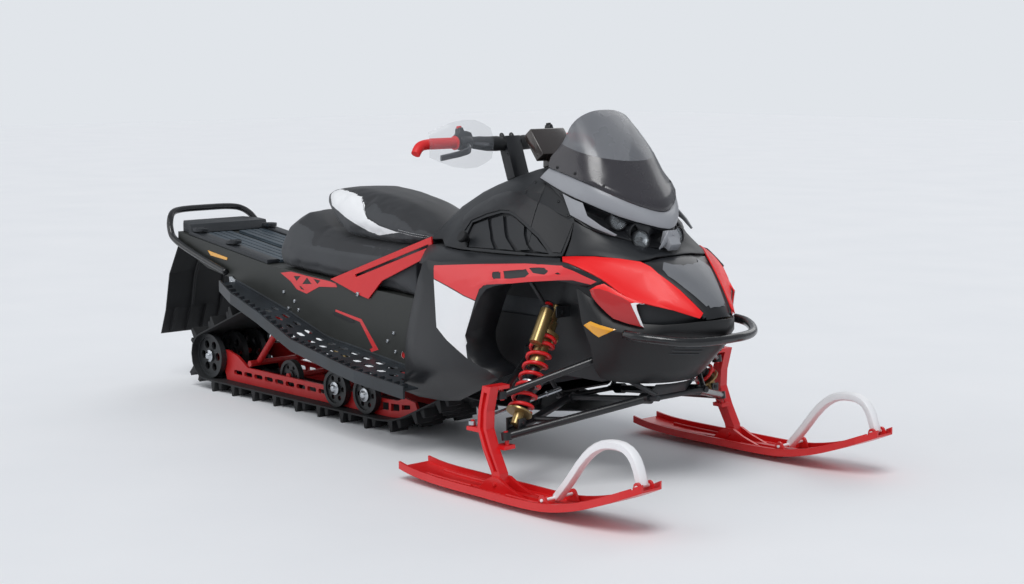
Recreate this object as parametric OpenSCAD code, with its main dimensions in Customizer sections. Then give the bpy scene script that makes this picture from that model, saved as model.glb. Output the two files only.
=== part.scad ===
// Trail snowmobile with a sprung slide-rail skid and double wishbone skis.
// +X is forward, +Y is to the rider's left, +Z is up. Millimetres.
// The origin is on the floor, under the middle of the machine's length and width.

/* [Track] */
// Width of the track belt
track_w = 381; // [360:1:395]
// Height of the lugs
lug_h = 40; // [30:1:44]
// Thickness of the belt
belt_t = 6; // [4:0.5:8]
// Pairs of lug rows round the loop
lug_pairs = 25; // [22:1:27]
// Radius of the rear idler wheels
rear_wheel_r = 91; // [84:1:96]
// Radius of the road wheels
road_wheel_r = 70; // [60:1:76]
// Radius of the upper idler wheels
top_wheel_r = 65; // [55:1:72]
// Radius of the drive sprockets over the belt's inner face
drive_r = 92; // [84:1:98]
// Rear axle, distance behind the origin
rear_axle_back = 1253; // [1235:1:1265]
// Drive axle, distance ahead of the origin
drive_axle_x = 225; // [200:1:240]
// Drive axle, height
drive_axle_z = 262; // [250:1:275]
// Upper idler axle, height
top_axle_z = 345; // [325:1:355]

/* [Skid] */
// Distance from the middle to a slide rail's inner face
rail_y = 124; // [110:1:130]
// Thickness of a slide rail
rail_t = 12; // [8:1:16]
// Width of an idler wheel
wheel_w = 24; // [18:1:28]
// Diameter of the cross shafts
shaft_d = 24; // [18:1:28]

/* [Tunnel] */
// Outer width of the tunnel
tunnel_w = 412; // [408:1:424]
// Thickness of the sheet metal
sheet = 4; // [2.5:0.5:5]
// Outer width over both running boards
board_span = 844; // [800:2:880]

/* [Skis] */
// Distance between the middles of the skis
ski_stance = 1077; // [1040:1:1100]
// Width of a ski
ski_w = 160; // [140:1:180]
// Thickness of a ski's base
ski_t = 7; // [5:0.5:9]
// Height of the keel under a ski
keel_h = 20; // [14:1:24]
// Ski bolt, distance ahead of the origin
ski_bolt_x = 950; // [940:1:960]
// Diameter of the ski bolt
ski_bolt_d = 12; // [10:1:14]
// Thickness of a spindle
spindle_t = 34; // [28:1:38]

/* [Suspension] */
// Diameter of a wishbone tube
arm_d = 26; // [20:1:28]
// Outer diameter of a front spring
spring_d = 76; // [66:1:80]
// Wire diameter of a front spring
wire_d = 10; // [7:0.5:11]
// Turns of a front spring
spring_turns = 8; // [6:1:9]
// Diameter of a shock body
shock_d = 46; // [38:1:50]
// Diameter of a ball stud
stud_d = 14; // [10:1:15]

/* [Steering] */
// Steering axis, lean back in degrees
steer_lean = 20; // [16:1:24]
// Diameter of the steering post
post_d = 34; // [28:1:38]
// Diameter of the handlebar tube
bar_d = 22; // [20:1:25]
// Half the width of the straight part of the handlebar
bar_half = 345; // [330:1:360]

/* [Body] */
// Thickness of the body panels
panel_t = 4; // [3:0.5:5]
// Thickness of the windshield
glass_t = 4; // [3:0.5:5]
// Diameter of the rear grab bar
grab_d = 28; // [22:1:32]
// Diameter of the front bumper
bumper_d = 30; // [24:1:34]
// Diameter of a headlamp lens
lamp_d = 56; // [46:1:60]

/* [Hidden] */

$fn = 48;
run = 0.3;          // running clearance round pins and shafts
seat_gap = 0.3;     // gap between pieces that rest on each other
cut = 1;            // overshoot of a cut

// Track loop: centres and radii of what the belt's inner face wraps, in X and Z
inner_z = lug_h + belt_t;
lift_x = -120;      // where the belt leaves the floor
lift_r = 420;       // radius of the rails' front curve
top_axle_x = -800;
wraps = [
  [-rear_axle_back, inner_z + rear_wheel_r, rear_wheel_r],
  [lift_x, inner_z + lift_r, lift_r],
  [drive_axle_x, drive_axle_z, drive_r],
  [top_axle_x, top_axle_z, top_wheel_r]];
function gap2(a, b) = norm([b[0] - a[0], b[1] - a[1]]);
function heading(a, b) = atan2(b[1] - a[1], b[0] - a[0]) + asin((a[2] - b[2]) / gap2(a, b));
function after(a, prev) = a < prev - 0.01 ? a + 360 : a;
out0 = heading(wraps[0], wraps[1]);
out1 = heading(wraps[1], wraps[2]);
out2 = after(heading(wraps[2], wraps[3]), out1);
out3 = after(heading(wraps[3], wraps[0]), out2);
leaves = [out0, out1, out2, out3];
enters = [out3 - 360, out0, out1, out2];
function arc_len(i) = (wraps[i][2] + belt_t / 2) * (leaves[i] - enters[i]) * PI / 180;
function run_len(i) = let (a = wraps[i], b = wraps[(i + 1) % 4])
  sqrt(pow(gap2(a, b), 2) - pow(a[2] - b[2], 2));
spans = [for (i = [0:7]) i % 2 == 0 ? arc_len(i / 2) : run_len((i - 1) / 2)];
function reach(i) = i == 0 ? 0 : spans[i - 1] + reach(i - 1);
loop_len = reach(8);
pitch = loop_len / (2 * lug_pairs);
function span_at(s, k = 0) = k == 7 || s < reach(k + 1) ? k : span_at(s, k + 1);
function belt_at(s, off) = let (k = span_at(s), i = floor(k / 2), w = wraps[i], d = s - reach(k),
    a = k % 2 == 0 ? enters[i] + d / (w[2] + belt_t / 2) * 180 / PI : leaves[i],
    slide = k % 2 == 0 ? 0 : d)
  [w[0] + (w[2] + off) * sin(a) + slide * cos(a), w[1] - (w[2] + off) * cos(a) + slide * sin(a)];

// General shapes
function unit(v) = v / norm(v);
function mix(a, b, t) = a + (b - a) * t;
function bend(a, b, c, d, t) = 0.5 * (2 * b + (c - a) * t + (2 * a - 5 * b + 4 * c - d) * t * t
  + (3 * b - a - 3 * c + d) * t * t * t);
// A smooth curve through points, with n steps between neighbours
function smooth(p, n) = let (e = len(p) - 1)
  [for (i = [0:e - 1]) for (k = [0:n - 1]) bend(p[max(i - 1, 0)], p[i], p[i + 1],
    p[min(i + 2, e)], k / n), p[e]];
function column(g, j) = [for (r = g) r[j]];
function flip_grid(g) = [for (j = [0:len(g[0]) - 1]) column(g, j)];
function fine_rows(g, n) = [for (r = g) smooth(r, n)];
// A grid of points made finer along both ways
function fine(g, n, m) = flip_grid(fine_rows(flip_grid(fine_rows(g, n)), m));
function other(p) = [p[0], -p[1], p[2]];
// Rows given from the middle outwards are completed by the other side
function both_sides(g) = [for (r = g) concat([for (j = [len(r) - 1:-1:1]) other(r[j])], r)];
function grid_normal(g, i, j) = let (e = len(g) - 1, f = len(g[0]) - 1,
    u = g[min(i + 1, e)][j] - g[max(i - 1, 0)][j],
    v = g[i][min(j + 1, f)] - g[i][max(j - 1, 0)]) unit(cross(u, v));
function strip(a, b, c, d, swap) = swap ? [[a, c, b], [a, d, c]] : [[a, b, c], [a, c, d]];

// A sheet of thickness t on the inner side of a grid of points; side is 1 or -1
module skin(g, t, side = 1) {
  rows = len(g);
  cols = len(g[0]);
  back = [for (i = [0:rows - 1]) for (j = [0:cols - 1]) g[i][j] + side * t * grid_normal(g, i, j)];
  front = [for (r = g) for (p = r) p];
  n = rows * cols;
  s = side > 0;
  polyhedron(points = concat(front, back), faces = concat(
    [for (i = [0:rows - 2]) for (j = [0:cols - 2])
      each strip(i * cols + j, i * cols + j + 1, (i + 1) * cols + j + 1, (i + 1) * cols + j, s)],
    [for (i = [0:rows - 2]) for (j = [0:cols - 2])
      each strip(n + i * cols + j, n + i * cols + j + 1, n + (i + 1) * cols + j + 1,
        n + (i + 1) * cols + j, !s)],
    [for (j = [0:cols - 2]) each strip(j, n + j, n + j + 1, j + 1, s)],
    [for (j = [0:cols - 2]) let (k = (rows - 1) * cols + j) each strip(k, k + 1, n + k + 1, n + k, s)],
    [for (i = [0:rows - 2]) let (k = i * cols) each strip(k, k + cols, n + k + cols, n + k, s)],
    [for (i = [0:rows - 2]) let (k = i * cols + cols - 1)
      each strip(k, n + k, n + k + cols, k + cols, s)]));
}

// A solid through closed rings of the same number of points
module loft(rings) {
  m = len(rings[0]);
  e = len(rings) - 1;
  polyhedron(points = [for (r = rings) for (p = r) p], faces = concat(
    [[for (j = [0:m - 1]) j]],
    [for (i = [0:e - 1]) for (j = [0:m - 1]) let (k = (j + 1) % m)
      each strip(i * m + j, (i + 1) * m + j, (i + 1) * m + k, i * m + k, false)],
    [[for (j = [m - 1:-1:0]) e * m + j]]));
}

// A bar of section sect (points in its own plane) along a path; up isn't parallel to the path
module bar(path, sect, up) {
  e = len(path) - 1;
  loft([for (i = [0:e]) let (d = unit(path[min(i + 1, e)] - path[max(i - 1, 0)]),
      a = unit(cross(d, up)), b = cross(a, d))
    [for (q = sect) path[i] + q[0] * a + q[1] * b]]);
}
function round_sect(r, n) = [for (k = [0:n - 1]) r * [cos(360 * k / n), -sin(360 * k / n)]];

// A straight round bar between two points
module rod(a, b, r) {
  d = b - a;
  translate(a) rotate([0, acos(d[2] / norm(d)), atan2(d[1], d[0])]) cylinder(h = norm(d), r = r);
}
// Places children with +Z along the line from a to b
module along(a, b) {
  d = b - a;
  translate(a) rotate([0, acos(d[2] / norm(d)), atan2(d[1], d[0])]) children();
}
// Side-view outlines (X, Z) given a thickness from y0 to y1, and plan outlines from z0 to z1
module side_view(y0, y1) translate([0, y1, 0]) rotate([90, 0, 0]) linear_extrude(y1 - y0) children();
module plan_view(z0, z1) translate([0, 0, z0]) linear_extrude(z1 - z0) children();
// A round bar across the machine
module cross_bar(x, z, y0, y1, r) translate([x, y1, z]) rotate([90, 0, 0]) cylinder(h = y1 - y0, r = r);
module pair() {
  children();
  mirror([0, 1, 0]) children();
}
function at(list, x, i = 0) = i >= len(list) - 2 || x < list[i + 1][0]
  ? mix(list[i][1], list[i + 1][1], (x - list[i][0]) / (list[i + 1][0] - list[i][0]))
  : at(list, x, i + 1);

// Tunnel: upper and lower edge in side view, rear to front
tunnel_top = [[-1400, 640], [-754, 554], [-363, 530], [-80, 518], [330, 500]];
tunnel_low = [[-1400, 585], [-1182, 507], [-982, 476], [-640, 392], [-385, 318], [63, 264], [330, 246]];
half_w = tunnel_w / 2;

module tunnel_outline(drop) polygon(concat([for (p = tunnel_top) p - [0, drop]],
  [for (i = [len(tunnel_low) - 1:-1:0]) tunnel_low[i]]));

module tunnel() color("#3a3e40") {
  difference() {
    side_view(-half_w, half_w) tunnel_outline(0);
    side_view(-half_w + sheet, half_w - sheet) polygon(concat(
      [[-1400 - cut, 640 - sheet]], [for (p = tunnel_top) p - [0, sheet]],
      [[330 + cut, 500 - sheet], [330 + cut, 0], [-1400 - cut, 0]]));
    cross_bar(front_pivot[0], front_pivot[1], -half_w - cut, half_w + cut, shaft_d / 2 + run);
    cross_bar(drive_axle_x, drive_axle_z, -half_w - cut, half_w + cut, shaft_d / 2 + run);
  }
  // Brackets that carry the upper idler axle
  pair() difference() {
    side_view(half_w - sheet, half_w) polygon([[top_axle_x - 70, 470], [top_axle_x + 90, 470],
      [top_axle_x + 30, top_axle_z - 28], [top_axle_x - 30, top_axle_z - 28]]);
    cross_bar(top_axle_x, top_axle_z, half_w - 2 * sheet, half_w + cut, shaft_d / 2 + run);
  }
  tow_hitch();
}

// Running boards: side view of the tread, rear to front
board_line = [[-985, 470], [-640, 386], [-385, 312], [63, 262], [340, 240]];
board_out = board_span / 2;
board_front = 330;
panel_rear = 246;      // rear edge of the side panel's foot
panel_low_y = 345;     // how far out that foot lies
tread_t = 5;
edge_h = 44;
edge_t = 8;

module board_strip(drop, rise) polygon(concat([for (p = board_line) p + [0, rise]],
  [for (i = [len(board_line) - 1:-1:0]) board_line[i] - [0, drop]]));

// Outer edge of the board in plan
board_edge = [[-985, 284], [-850, 322], [-596, 348], [-333, 374], [-102, 405], [60, board_out]];
module board_plan() polygon(concat([[-985, half_w + seat_gap]], board_edge, [[board_front, board_out],
  [board_front, panel_low_y + 12], [panel_rear - 8, panel_low_y + 12], [panel_rear - 8, panel_low_y - 22],
  [board_front, panel_low_y - 22], [board_front, half_w + seat_gap]]));

module running_board() {
  difference() {
    intersection() {
      side_view(half_w, board_out + cut) board_strip(tread_t, 0);
      plan_view(150, 600) board_plan();
    }
    for (i = [0:12]) translate([-690 + 74 * i, 0, 0]) {
      w = at(board_edge, -690 + 74 * i) - half_w;
      for (k = [0.2, 0.48, 0.76]) plan_view(150, 600) translate([40 * k, half_w + w * k]) scale([1, w / 216])
        polygon([[-22, 0], [-10, 18], [18, 18], [24, 0], [10, -16], [-14, -16]]);
    }
  }
  // Outer edge rail
  difference() {
    intersection() {
      side_view(half_w, board_out + cut) board_strip(edge_h - 12, 12);
      plan_view(150, 600) board_plan();
    }
    plan_view(150, 600) polygon(concat([[-985 - cut, half_w - 1]], [for (p = board_edge) p - [cut, edge_t]],
      [[board_front + cut, board_out - edge_t], [board_front + cut, half_w - 1]]));
  }
}

module running_boards() color("#26292c") pair() running_board();

// Rear deck: cooler panels, side rails with four anchors, and the tail cap
module deck_piece(x0, x1, y0, y1, low, high) intersection() {
  side_view(y0, y1) polygon([[x0, at(tunnel_top, x0) + low], [x1, at(tunnel_top, x1) + low],
    [x1, at(tunnel_top, x1) + high], [x0, at(tunnel_top, x0) + high]]);
  plan_view(400, 800) polygon([[x0, y0], [x1, y0], [x1, y1], [x0, y1]]);
}
deck_gap = 0.3;
module rear_deck() color("#3d474f") {
  for (s = [-1, 1]) {
    for (k = [0:3]) {
      deck_piece(-1290, -770, s * 80 - 62 + k * 32, s * 80 - 62 + k * 32 + 26, deck_gap + 4, deck_gap + 12);
    }
    deck_piece(-1290, -770, s * 80 - 64, s * 80 + 62, deck_gap, deck_gap + 4.5);
    deck_piece(-1326, -770, s * 176 - 26, s * 176 + 26, deck_gap, deck_gap + 16);
  }
  // Tail cap, which overhangs the tunnel's end
  intersection() {
    side_view(-186, 186) polygon([[-1464, 646], [-1464, 668], [-1452, 678], [-1342, 670], [-1328, 636],
      [-1328, at(tunnel_top, -1328) + deck_gap], [-1400, 640 + deck_gap]]);
    plan_view(600, 700) polygon([[-1465, -138], [-1465, 138], [-1392, 186], [-1328, 186], [-1328, -186], [-1392, -186]]);
  }
  for (x = [-1290, -1050]) {
    for (s = [-1, 1]) translate([x, s * 168, at(tunnel_top, x) + 12]) {
      cylinder(h = 9, r = 16);
      translate([0, 0, 8]) difference() {
        cylinder(h = 13, r = 31);
        translate([0, 0, 6]) cylinder(h = 14, r = 18);
      }
    }
  }
}

grab_path = [[-1030, 220, 504], [-1221, 221, 551], [-1400, 220.5, 606], [-1446, 214, 648], [-1474, 196, 686],
  [-1500, 166, 710], [-1512, 120, 718], [-1514, 60, 720]];
module rear_grab_bar() color("#151618") {
  p = smooth(grab_path, 3);
  bar(concat(p, [for (i = [len(p) - 1:-1:0]) other(p[i])]), round_sect(grab_d / 2, 10), [0.3, 0, 1]);
}

flap_line = [[-1398, 635], [-1401, 612], [-1497, 455], [-1534, 300], [-1577, 196]];
module snow_flap() color("#17181a") {
  t = 6;
  difference() {
    side_view(-195, 195) polygon(concat(flap_line, [for (i = [4:-1:1]) flap_line[i] + [t, t / 2]],
      [[-1393, 635]]));
    translate([-1500, -64, 511]) cube([100, 128, 22]);
  }
  for (y = [-150, -75, 0, 75, 150]) {
    side_view(y - 7, y + 7) polygon([[-1530, 300], [-1569, 202], [-1555, 202], [-1512, 310]]);
  }
}

// Tow hitch plate bolted to the tunnel's rear end; a pin drops in between tail cap and grab bar
hitch_hole_x = -1482;
module tow_hitch() {
  difference() {
    plan_view(518, 526) polygon([[-1398, -60], [-1398, 60], [-1450, 60], [-1506, 26], [-1506, -26], [-1450, -60]]);
    translate([hitch_hole_x, 0, 510]) cylinder(h = 30, r = 8);
  }
  for (s = [-1, 1]) side_view(s * 56 - 4, s * 56 + 4)
    polygon([[-1399, 518], [-1432, 520], [-1408, 565], [-1393, 590], [-1390, 637], [-1384, 637], [-1384, 518]]);
}

// Seats are closed rings in planes across the machine, from half outlines (half-width, height)
function ring(x, half) = let (n = len(half) - 1)
  concat([for (q = half) [x, -q[0], q[1]]], [for (i = [n - 1:-1:1]) [x, half[i][0], half[i][1]]]);

driver_sections = [
  [-546, [[0, 842], [36, 840], [58, 832], [62, 824], [42, 818], [0, 817]]],
  [-514, [[0, 856], [64, 852], [96, 836], [102, 806], [76, 786], [0, 784]]],
  [-440, [[0, 864], [78, 861], [128, 842], [140, 784], [104, 724], [0, 719]]],
  [-320, [[0, 866], [82, 863], [142, 842], [164, 762], [148, 695], [0, 686.4]]],
  [-170, [[0, 850], [80, 847], [140, 824], [172, 742], [165, 693], [0, 685.4]]],
  [-30, [[0, 827], [72, 824], [126, 803], [170, 734], [167, 692], [0, 684.3]]],
  [60, [[0, 797], [62, 794], [112, 777], [164, 727], [161, 695], [0, 683.8]]],
  [162, [[0, 760], [50, 758], [96, 749], [146, 722], [144, 702], [0, 696.6]]]];
module driver_seat() color("#26282c") loft([for (s = driver_sections) ring(s[0], s[1])]);

rear_sections = [
  [-735, [[0, 640], [120, 634], [165, 620], [168, 590], [120, 572], [0, 570]]],
  [-700, [[0, 742], [90, 736], [150, 700], [186, 620], [180, 556], [0, 551.5]]],
  [-640, [[0, 766], [90, 760], [150, 726], [191, 630], [189, 551], [0, 547.8]]],
  [-480, [[0, 708], [100, 706], [160, 696], [194, 640], [192, 541], [0, 538]]],
  [-330, [[0, 685], [118, 684], [168, 682], [195, 638], [193, 532], [0, 529.4]]],
  [-80, [[0, 683], [122, 682], [172, 679], [194, 636], [191, 522], [0, 518.8]]],
  [120, [[0, 683], [119, 681], [171, 677], [192, 640], [190, 513], [0, 510]]]];
module rear_seat() color("#222428") loft([for (s = rear_sections) ring(s[0], s[1])]);

module seat_braces() color("#d4151b") pair() difference() {
  side_view(half_w + 1, half_w + 7) polygon([[-350, 536], [232, 733], [236, 690], [206, 660],
    [-45, 556], [-125, 484], [-190, 496]]);
  side_view(half_w, half_w + 8) polygon([[-200, 566], [216, 706], [219, 696], [-197, 556]]);
}

tank_y = 205;
module fuel_tank() color("#1f2124") intersection() {
  side_view(-tank_y, tank_y) polygon([[140, at(tunnel_top, 140) + seat_gap], [140, 690], [185, 700],
    [330, 705], [380, 640], [380, 508], [332, 508], [330, at(tunnel_top, 330) + seat_gap]]);
  plan_view(490, 720) polygon([[139, -tank_y + 22], [300, -tank_y], [381, -tank_y],
    [381, tank_y], [300, tank_y], [139, tank_y - 22]]);
}

// Front frame: bulkhead plates, cross plates and the tubes that carry the steering
post_foot = [442, 0, 933];
post_dir = [-sin(steer_lean), 0, cos(steer_lean)];
bearing = post_foot - 62 * post_dir;
lower_front = [1150, 112, 286];
lower_rear = [812, 118, 244];
upper_front = [1088, 205, 430];
upper_rear = [730, 204, 398];
lower_dir = unit(lower_front - lower_rear);
upper_dir = unit(upper_front - upper_rear);
shock_top = [852, 222, 540];
shock_low = [922, 452, 226];
shock_pin = unit([-(shock_top - shock_low)[1], (shock_top - shock_low)[0], 0]);

// Ears on a side plate and the pin between them, for a wishbone's inner bush
bush_half = 18;
pin_r = 9;
module pivot_ears(p, u) {
  for (k = [-1, 1]) {
    x = p[0] + k * (bush_half + 4.4);
    translate([x - 2, 176, p[2] - 15]) cube([4, p[1] - 176 + 12, 30]);
  }
  rod(p - (bush_half + 4.4) * u, p + (bush_half + 4.4) * u, pin_r);
}

module front_frame() color("#2a2c2f") difference() {
  union() {
    for (s = [-1, 1]) side_view(s * 176 - 3, s * 176 + 3) polygon([[340, 506], [340, 330], [420, 262],
      [700, 236], [770, 300], [860, 330], [1020, 330], [1110, 352],
      [1126, 386], [1132, 466], [1040, 480], [960, 560], [820, 580], [790, 566], [790, 506]]);
    side_view(-174, 174) polygon([[345, 330], [351, 330], [424, 266], [700, 240], [700, 234], [420, 258]]);
    // Rear crossmember that the tunnel is bolted to
    side_view(-174, 174) polygon([[334, 340], [341, 340], [341, 496], [334, 496]]);
    // Pivot rails of the lower arms
    pair() {
      rod(lower_rear - 52 * lower_dir, lower_front + 52 * lower_dir, pin_r);
      pivot_ears(upper_front, upper_dir);
      pivot_ears(upper_rear, upper_dir);
      rod([1190, 108, 300], [1098, 172, 357], 8);
      rod([772, 118, 242], [772, 174, 320], 8);
      rod(bearing + [0, 16, 0], [804, 172, 546], 12);
      rod(bearing + [0, 16, 0], [405, 174, 498], 12);
      // Stays of the body panels, and the ears and pin of the shock absorber
      rod([827, 230, 549], [801, 277.5, 634], 7);
      rod([1116, 178.5, 440], [1165.5, 208.3, 450.5], 6);
      translate([640, 90, 192.8]) cylinder(h = 49, r = 7);
      for (k = [-1, 1]) translate([shock_top[0] + 25 * k - 2.5, 176, shock_top[2] - 18]) cube([5, 62, 36]);
      rod(shock_top - 33 * shock_pin, shock_top + 33 * shock_pin, 8 - run);
    }
    cross_bar(1188, 291, -112, 112, 8);
    cross_bar(776, 239.5, -118, 118, 8);
    along(bearing - 22 * post_dir, bearing + 22 * post_dir) cylinder(h = 44, r = 28);
  }
  along(bearing - 60 * post_dir, bearing + 60 * post_dir) cylinder(h = 120, r = post_d / 2 + run);
}

module engine_block() color("#4b4d50") translate([500, -172.4, 285]) cube([258, 344.8, 285]);

// Console over the tank: rows run forward, points go from the middle outwards
console_rows = [
  [[186, 0, 792], [186, 60, 788], [190, 110, 770], [198, 160, 742], [206, 196, 722]],
  [[262, 0, 850], [262, 70, 844], [266, 126, 814], [270, 176, 766], [276, 199, 728]],
  [[340, 0, 890], [342, 70, 884], [350, 124, 852], [356, 200, 788], [364, 262, 716]],
  [[410, 0, 918], [412, 66, 912], [420, 126, 878], [428, 208, 812], [440, 270, 712]],
  [[510, 0, 950], [510, 66, 944], [516, 134, 908], [524, 214, 836], [536, 276, 712]],
  [[620, 0, 978], [620, 80, 972], [624, 150, 936], [630, 220, 860], [642, 282, 714]],
  [[706, 0, 990], [706, 90, 984], [708, 166, 948], [712, 228, 866], [720, 286, 716]],
  [[772, 0, 984], [772, 100, 980], [776, 178, 952], [780, 236, 850], [786, 290, 718]]];
module console() color("#24262a") difference() {
  skin(fine(both_sides(console_rows), 2, 1), panel_t, -1);
  along(post_foot - 120 * post_dir, post_foot + 60 * post_dir) cylinder(h = 180, r = 33);
}

// Hood behind and beside the headlamps, down to the red sides
hood_rows = [
  [[1118, 0, 768], [1100, 70, 770], [1066, 140, 780], [1010, 196, 800], [942, 222, 832]],
  [[1140, 0, 744], [1132, 80, 744], [1104, 150, 753], [1026, 208, 768], [950, 244, 776]],
  [[1160, 0, 727], [1160, 80, 727], [1150, 154, 719], [1054, 228, 732], [950, 270, 727]]];
cowl_rows = [
  [[779, 183, 944], [784, 239, 846], [790, 291, 722]],
  [[862, 196, 900], [870, 240, 826], [878, 290, 722]],
  [[938, 218, 834], [946, 248, 776], [946, 278, 727]]];
module hood() color("#25272b") {
  skin(fine(both_sides(hood_rows), 2, 2), panel_t, -1);
  pair() skin(fine(cowl_rows, 2, 2), panel_t, -1);
}

nose_rows = [
  [[1164, 0, 723], [1164, 70, 721], [1161, 143, 712]],
  [[1215, 0, 702], [1214, 60, 699], [1210, 119, 680]],
  [[1276, 0, 655], [1274, 48, 652], [1270, 90, 633]],
  [[1338, 0, 592], [1334, 34, 588], [1328, 62, 576]],
  [[1364, 0, 552], [1358, 30, 550], [1346, 54, 546]]];
module nose_panel() color("#4a4c50") skin(fine(both_sides(nose_rows), 2, 2), panel_t, -1);

red_rows = [
  [[948, 278, 722], [1050, 240, 728], [1157, 149, 715], [1208, 124, 682], [1272, 94, 632], [1338, 65, 566]],
  [[966, 296, 719], [1046, 272, 714], [1132, 222, 672], [1195, 168, 634], [1283, 122, 590], [1340, 72, 560]],
  [[985, 314, 714], [1042, 301, 699], [1126, 268, 660], [1196, 224, 606], [1276, 130, 578], [1338, 78, 552]]];
red_low_rows = [
  [[1122, 271, 656], [1150, 254, 638], [1178, 238, 620], [1226, 207, 598]],
  [[1091, 300, 637], [1128, 278, 620], [1170, 252, 606], [1211, 222, 597]],
  [[1116, 287, 594], [1150, 268, 575], [1180, 246, 566], [1214, 212, 562]],
  [[1154, 262, 552], [1176, 244, 543], [1200, 222, 534], [1222, 200, 526]]];
module hood_side() {
  skin(fine(red_rows, 2, 2), panel_t, -1);
  skin(fine(red_low_rows, 2, 2), panel_t, -1);
}
module hood_sides() color("#e5161b") pair() hood_side();

bezel_rows = [
  [[1114, 0, 858], [1102, 45, 866], [1062, 108, 892], [990, 166, 932], [888, 184, 966], [790, 184, 990]],
  [[1138, 0, 830], [1118, 58, 840], [1062, 124, 866], [984, 182, 902], [884, 200, 938], [778, 196, 974]],
  [[1140, 0, 806], [1112, 64, 820], [1050, 130, 846], [972, 186, 884], [876, 206, 918], [762, 200, 958]]];
horn_rows = [
  [[874, 208, 914], [912, 204, 900], [952, 196, 888]],
  [[922, 221, 850], [952, 217, 850], [984, 208, 850]],
  [[1008, 206, 815], [1022, 202, 818], [1034, 196, 821]],
  [[1072, 176, 790], [1076, 175, 792], [1080, 174, 794]]];
module windshield_bezel() color("#9a9da2") {
  skin(fine(both_sides(bezel_rows), 2, 2), panel_t, -1);
  pair() skin(horn_rows, panel_t, 1);
  side_view(-22, 22) polygon([[1131, 800], [1140.5, 802], [1166, 768], [1150, 752], [1118, 776]]);
}

// Lamp bay between fascia and hood, with two round lamps on each side
bay_rows = [
  [for (p = bezel_rows[2]) p - [4.5, p[1] > 0 ? 4.5 : 0, 4.5]],
  [[1092, 0, 786], [1068, 56, 796], [1016, 112, 819], [956, 168, 852], [888, 200, 892], [800, 196, 936]],
  [[1120, 0, 772], [1102, 71, 774], [1068, 142, 784.5], [1012, 197, 805.2], [941.5, 218.7, 837.3], [863, 195, 906.5]]];
module lamp(p, turn) translate(p) rotate([0, 84, turn]) difference() {
  translate([0, 0, -40]) cylinder(h = 42, r = lamp_d / 2 + 4);
  translate([0, 0, -14]) cylinder(h = 30, r = lamp_d / 2);
}
module headlamps() color("#202226") {
  skin(fine(both_sides(bay_rows), 2, 2), panel_t, -1);
  pair() {
    lamp([1036, 122, 834], 22);
    lamp([1084, 84, 795], 14);
  }
}

glass_rows = [
  [[1113, 0, 859.3], [1101, 45, 867.3], [1061, 108, 893.4], [989, 166, 933.6], [887, 184, 967.6], [790, 184, 991.6]],
  [[1050, 0, 940], [1040, 50, 944], [1000, 116, 960], [934, 164, 986], [858, 176, 1008], [792, 176, 1022]],
  [[980, 0, 1030], [974, 56, 1032], [946, 118, 1038], [898, 154, 1044], [852, 164, 1048], [812, 164, 1046]],
  [[908, 0, 1110], [904, 54, 1110], [888, 106, 1106], [864, 136, 1098], [842, 146, 1090], [826, 148, 1080]],
  [[848, 0, 1168], [848, 44, 1166], [846, 84, 1156], [842, 112, 1142], [836, 128, 1124], [830, 134, 1106]]];
module windshield() color("#8d9095") skin(fine(both_sides(glass_rows), 2, 2), glass_t, -1);

lower_nose_rows = [
  [[1385, 0, 548], [1335, 84, 542.5], [1262, 160, 533], [1180, 220, 544], [1100, 270, 594], [1034, 304, 638]],
  [[1372, 0, 498], [1322, 100, 500], [1250, 176, 502], [1190, 240, 508], [1130, 286, 520], [1060, 306, 536]],
  [[1345, 0, 450], [1296, 84, 450], [1226, 150, 450], [1172, 214, 452], [1134, 254, 456], [1076, 284, 460]],
  [[1262, 0, 382], [1252, 52, 382], [1216, 108, 380], [1172, 172, 378], [1134, 236, 384], [1084, 276, 392]],
  [[1200, 0, 334], [1196, 42, 334], [1178, 88, 334], [1146, 148, 336], [1116, 206, 344], [1088, 252, 358]]];
module lower_nose() color("#1b1d20") skin(fine(both_sides(lower_nose_rows), 2, 1), panel_t, -1);

belly_rows = [
  [[1190, 0, 326], [1186, 44, 326], [1172, 90, 327]],
  [[1130, 0, 280], [1128, 50, 280], [1120, 94, 276]],
  [[1020, 0, 236], [1020, 56, 236], [1018, 100, 238]],
  [[900, 0, 206], [900, 60, 206], [900, 108, 208]],
  [[718, 0, 188], [718, 80, 188], [718, 150, 190]],
  [[560, 0, 188], [560, 100, 188], [560, 206, 192]],
  [[405, 0, 198], [405, 110, 198], [405, 222, 202]]];
module belly_pan() color("#1b1d20") skin(fine(both_sides(belly_rows), 2, 1), panel_t, -1);

bumper_path = [[1194, 253, 507], [1240, 248, 503], [1296, 212, 497], [1345, 163, 490], [1375, 104, 488], [1390, 44, 489]];
module front_bumper() color("#141517") {
  p = smooth(bumper_path, 2);
  bar(concat(p, [for (i = [len(p) - 1:-1:0]) other(p[i])]), round_sect(bumper_d / 2, 10), [0, 0, 1]);
}

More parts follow.
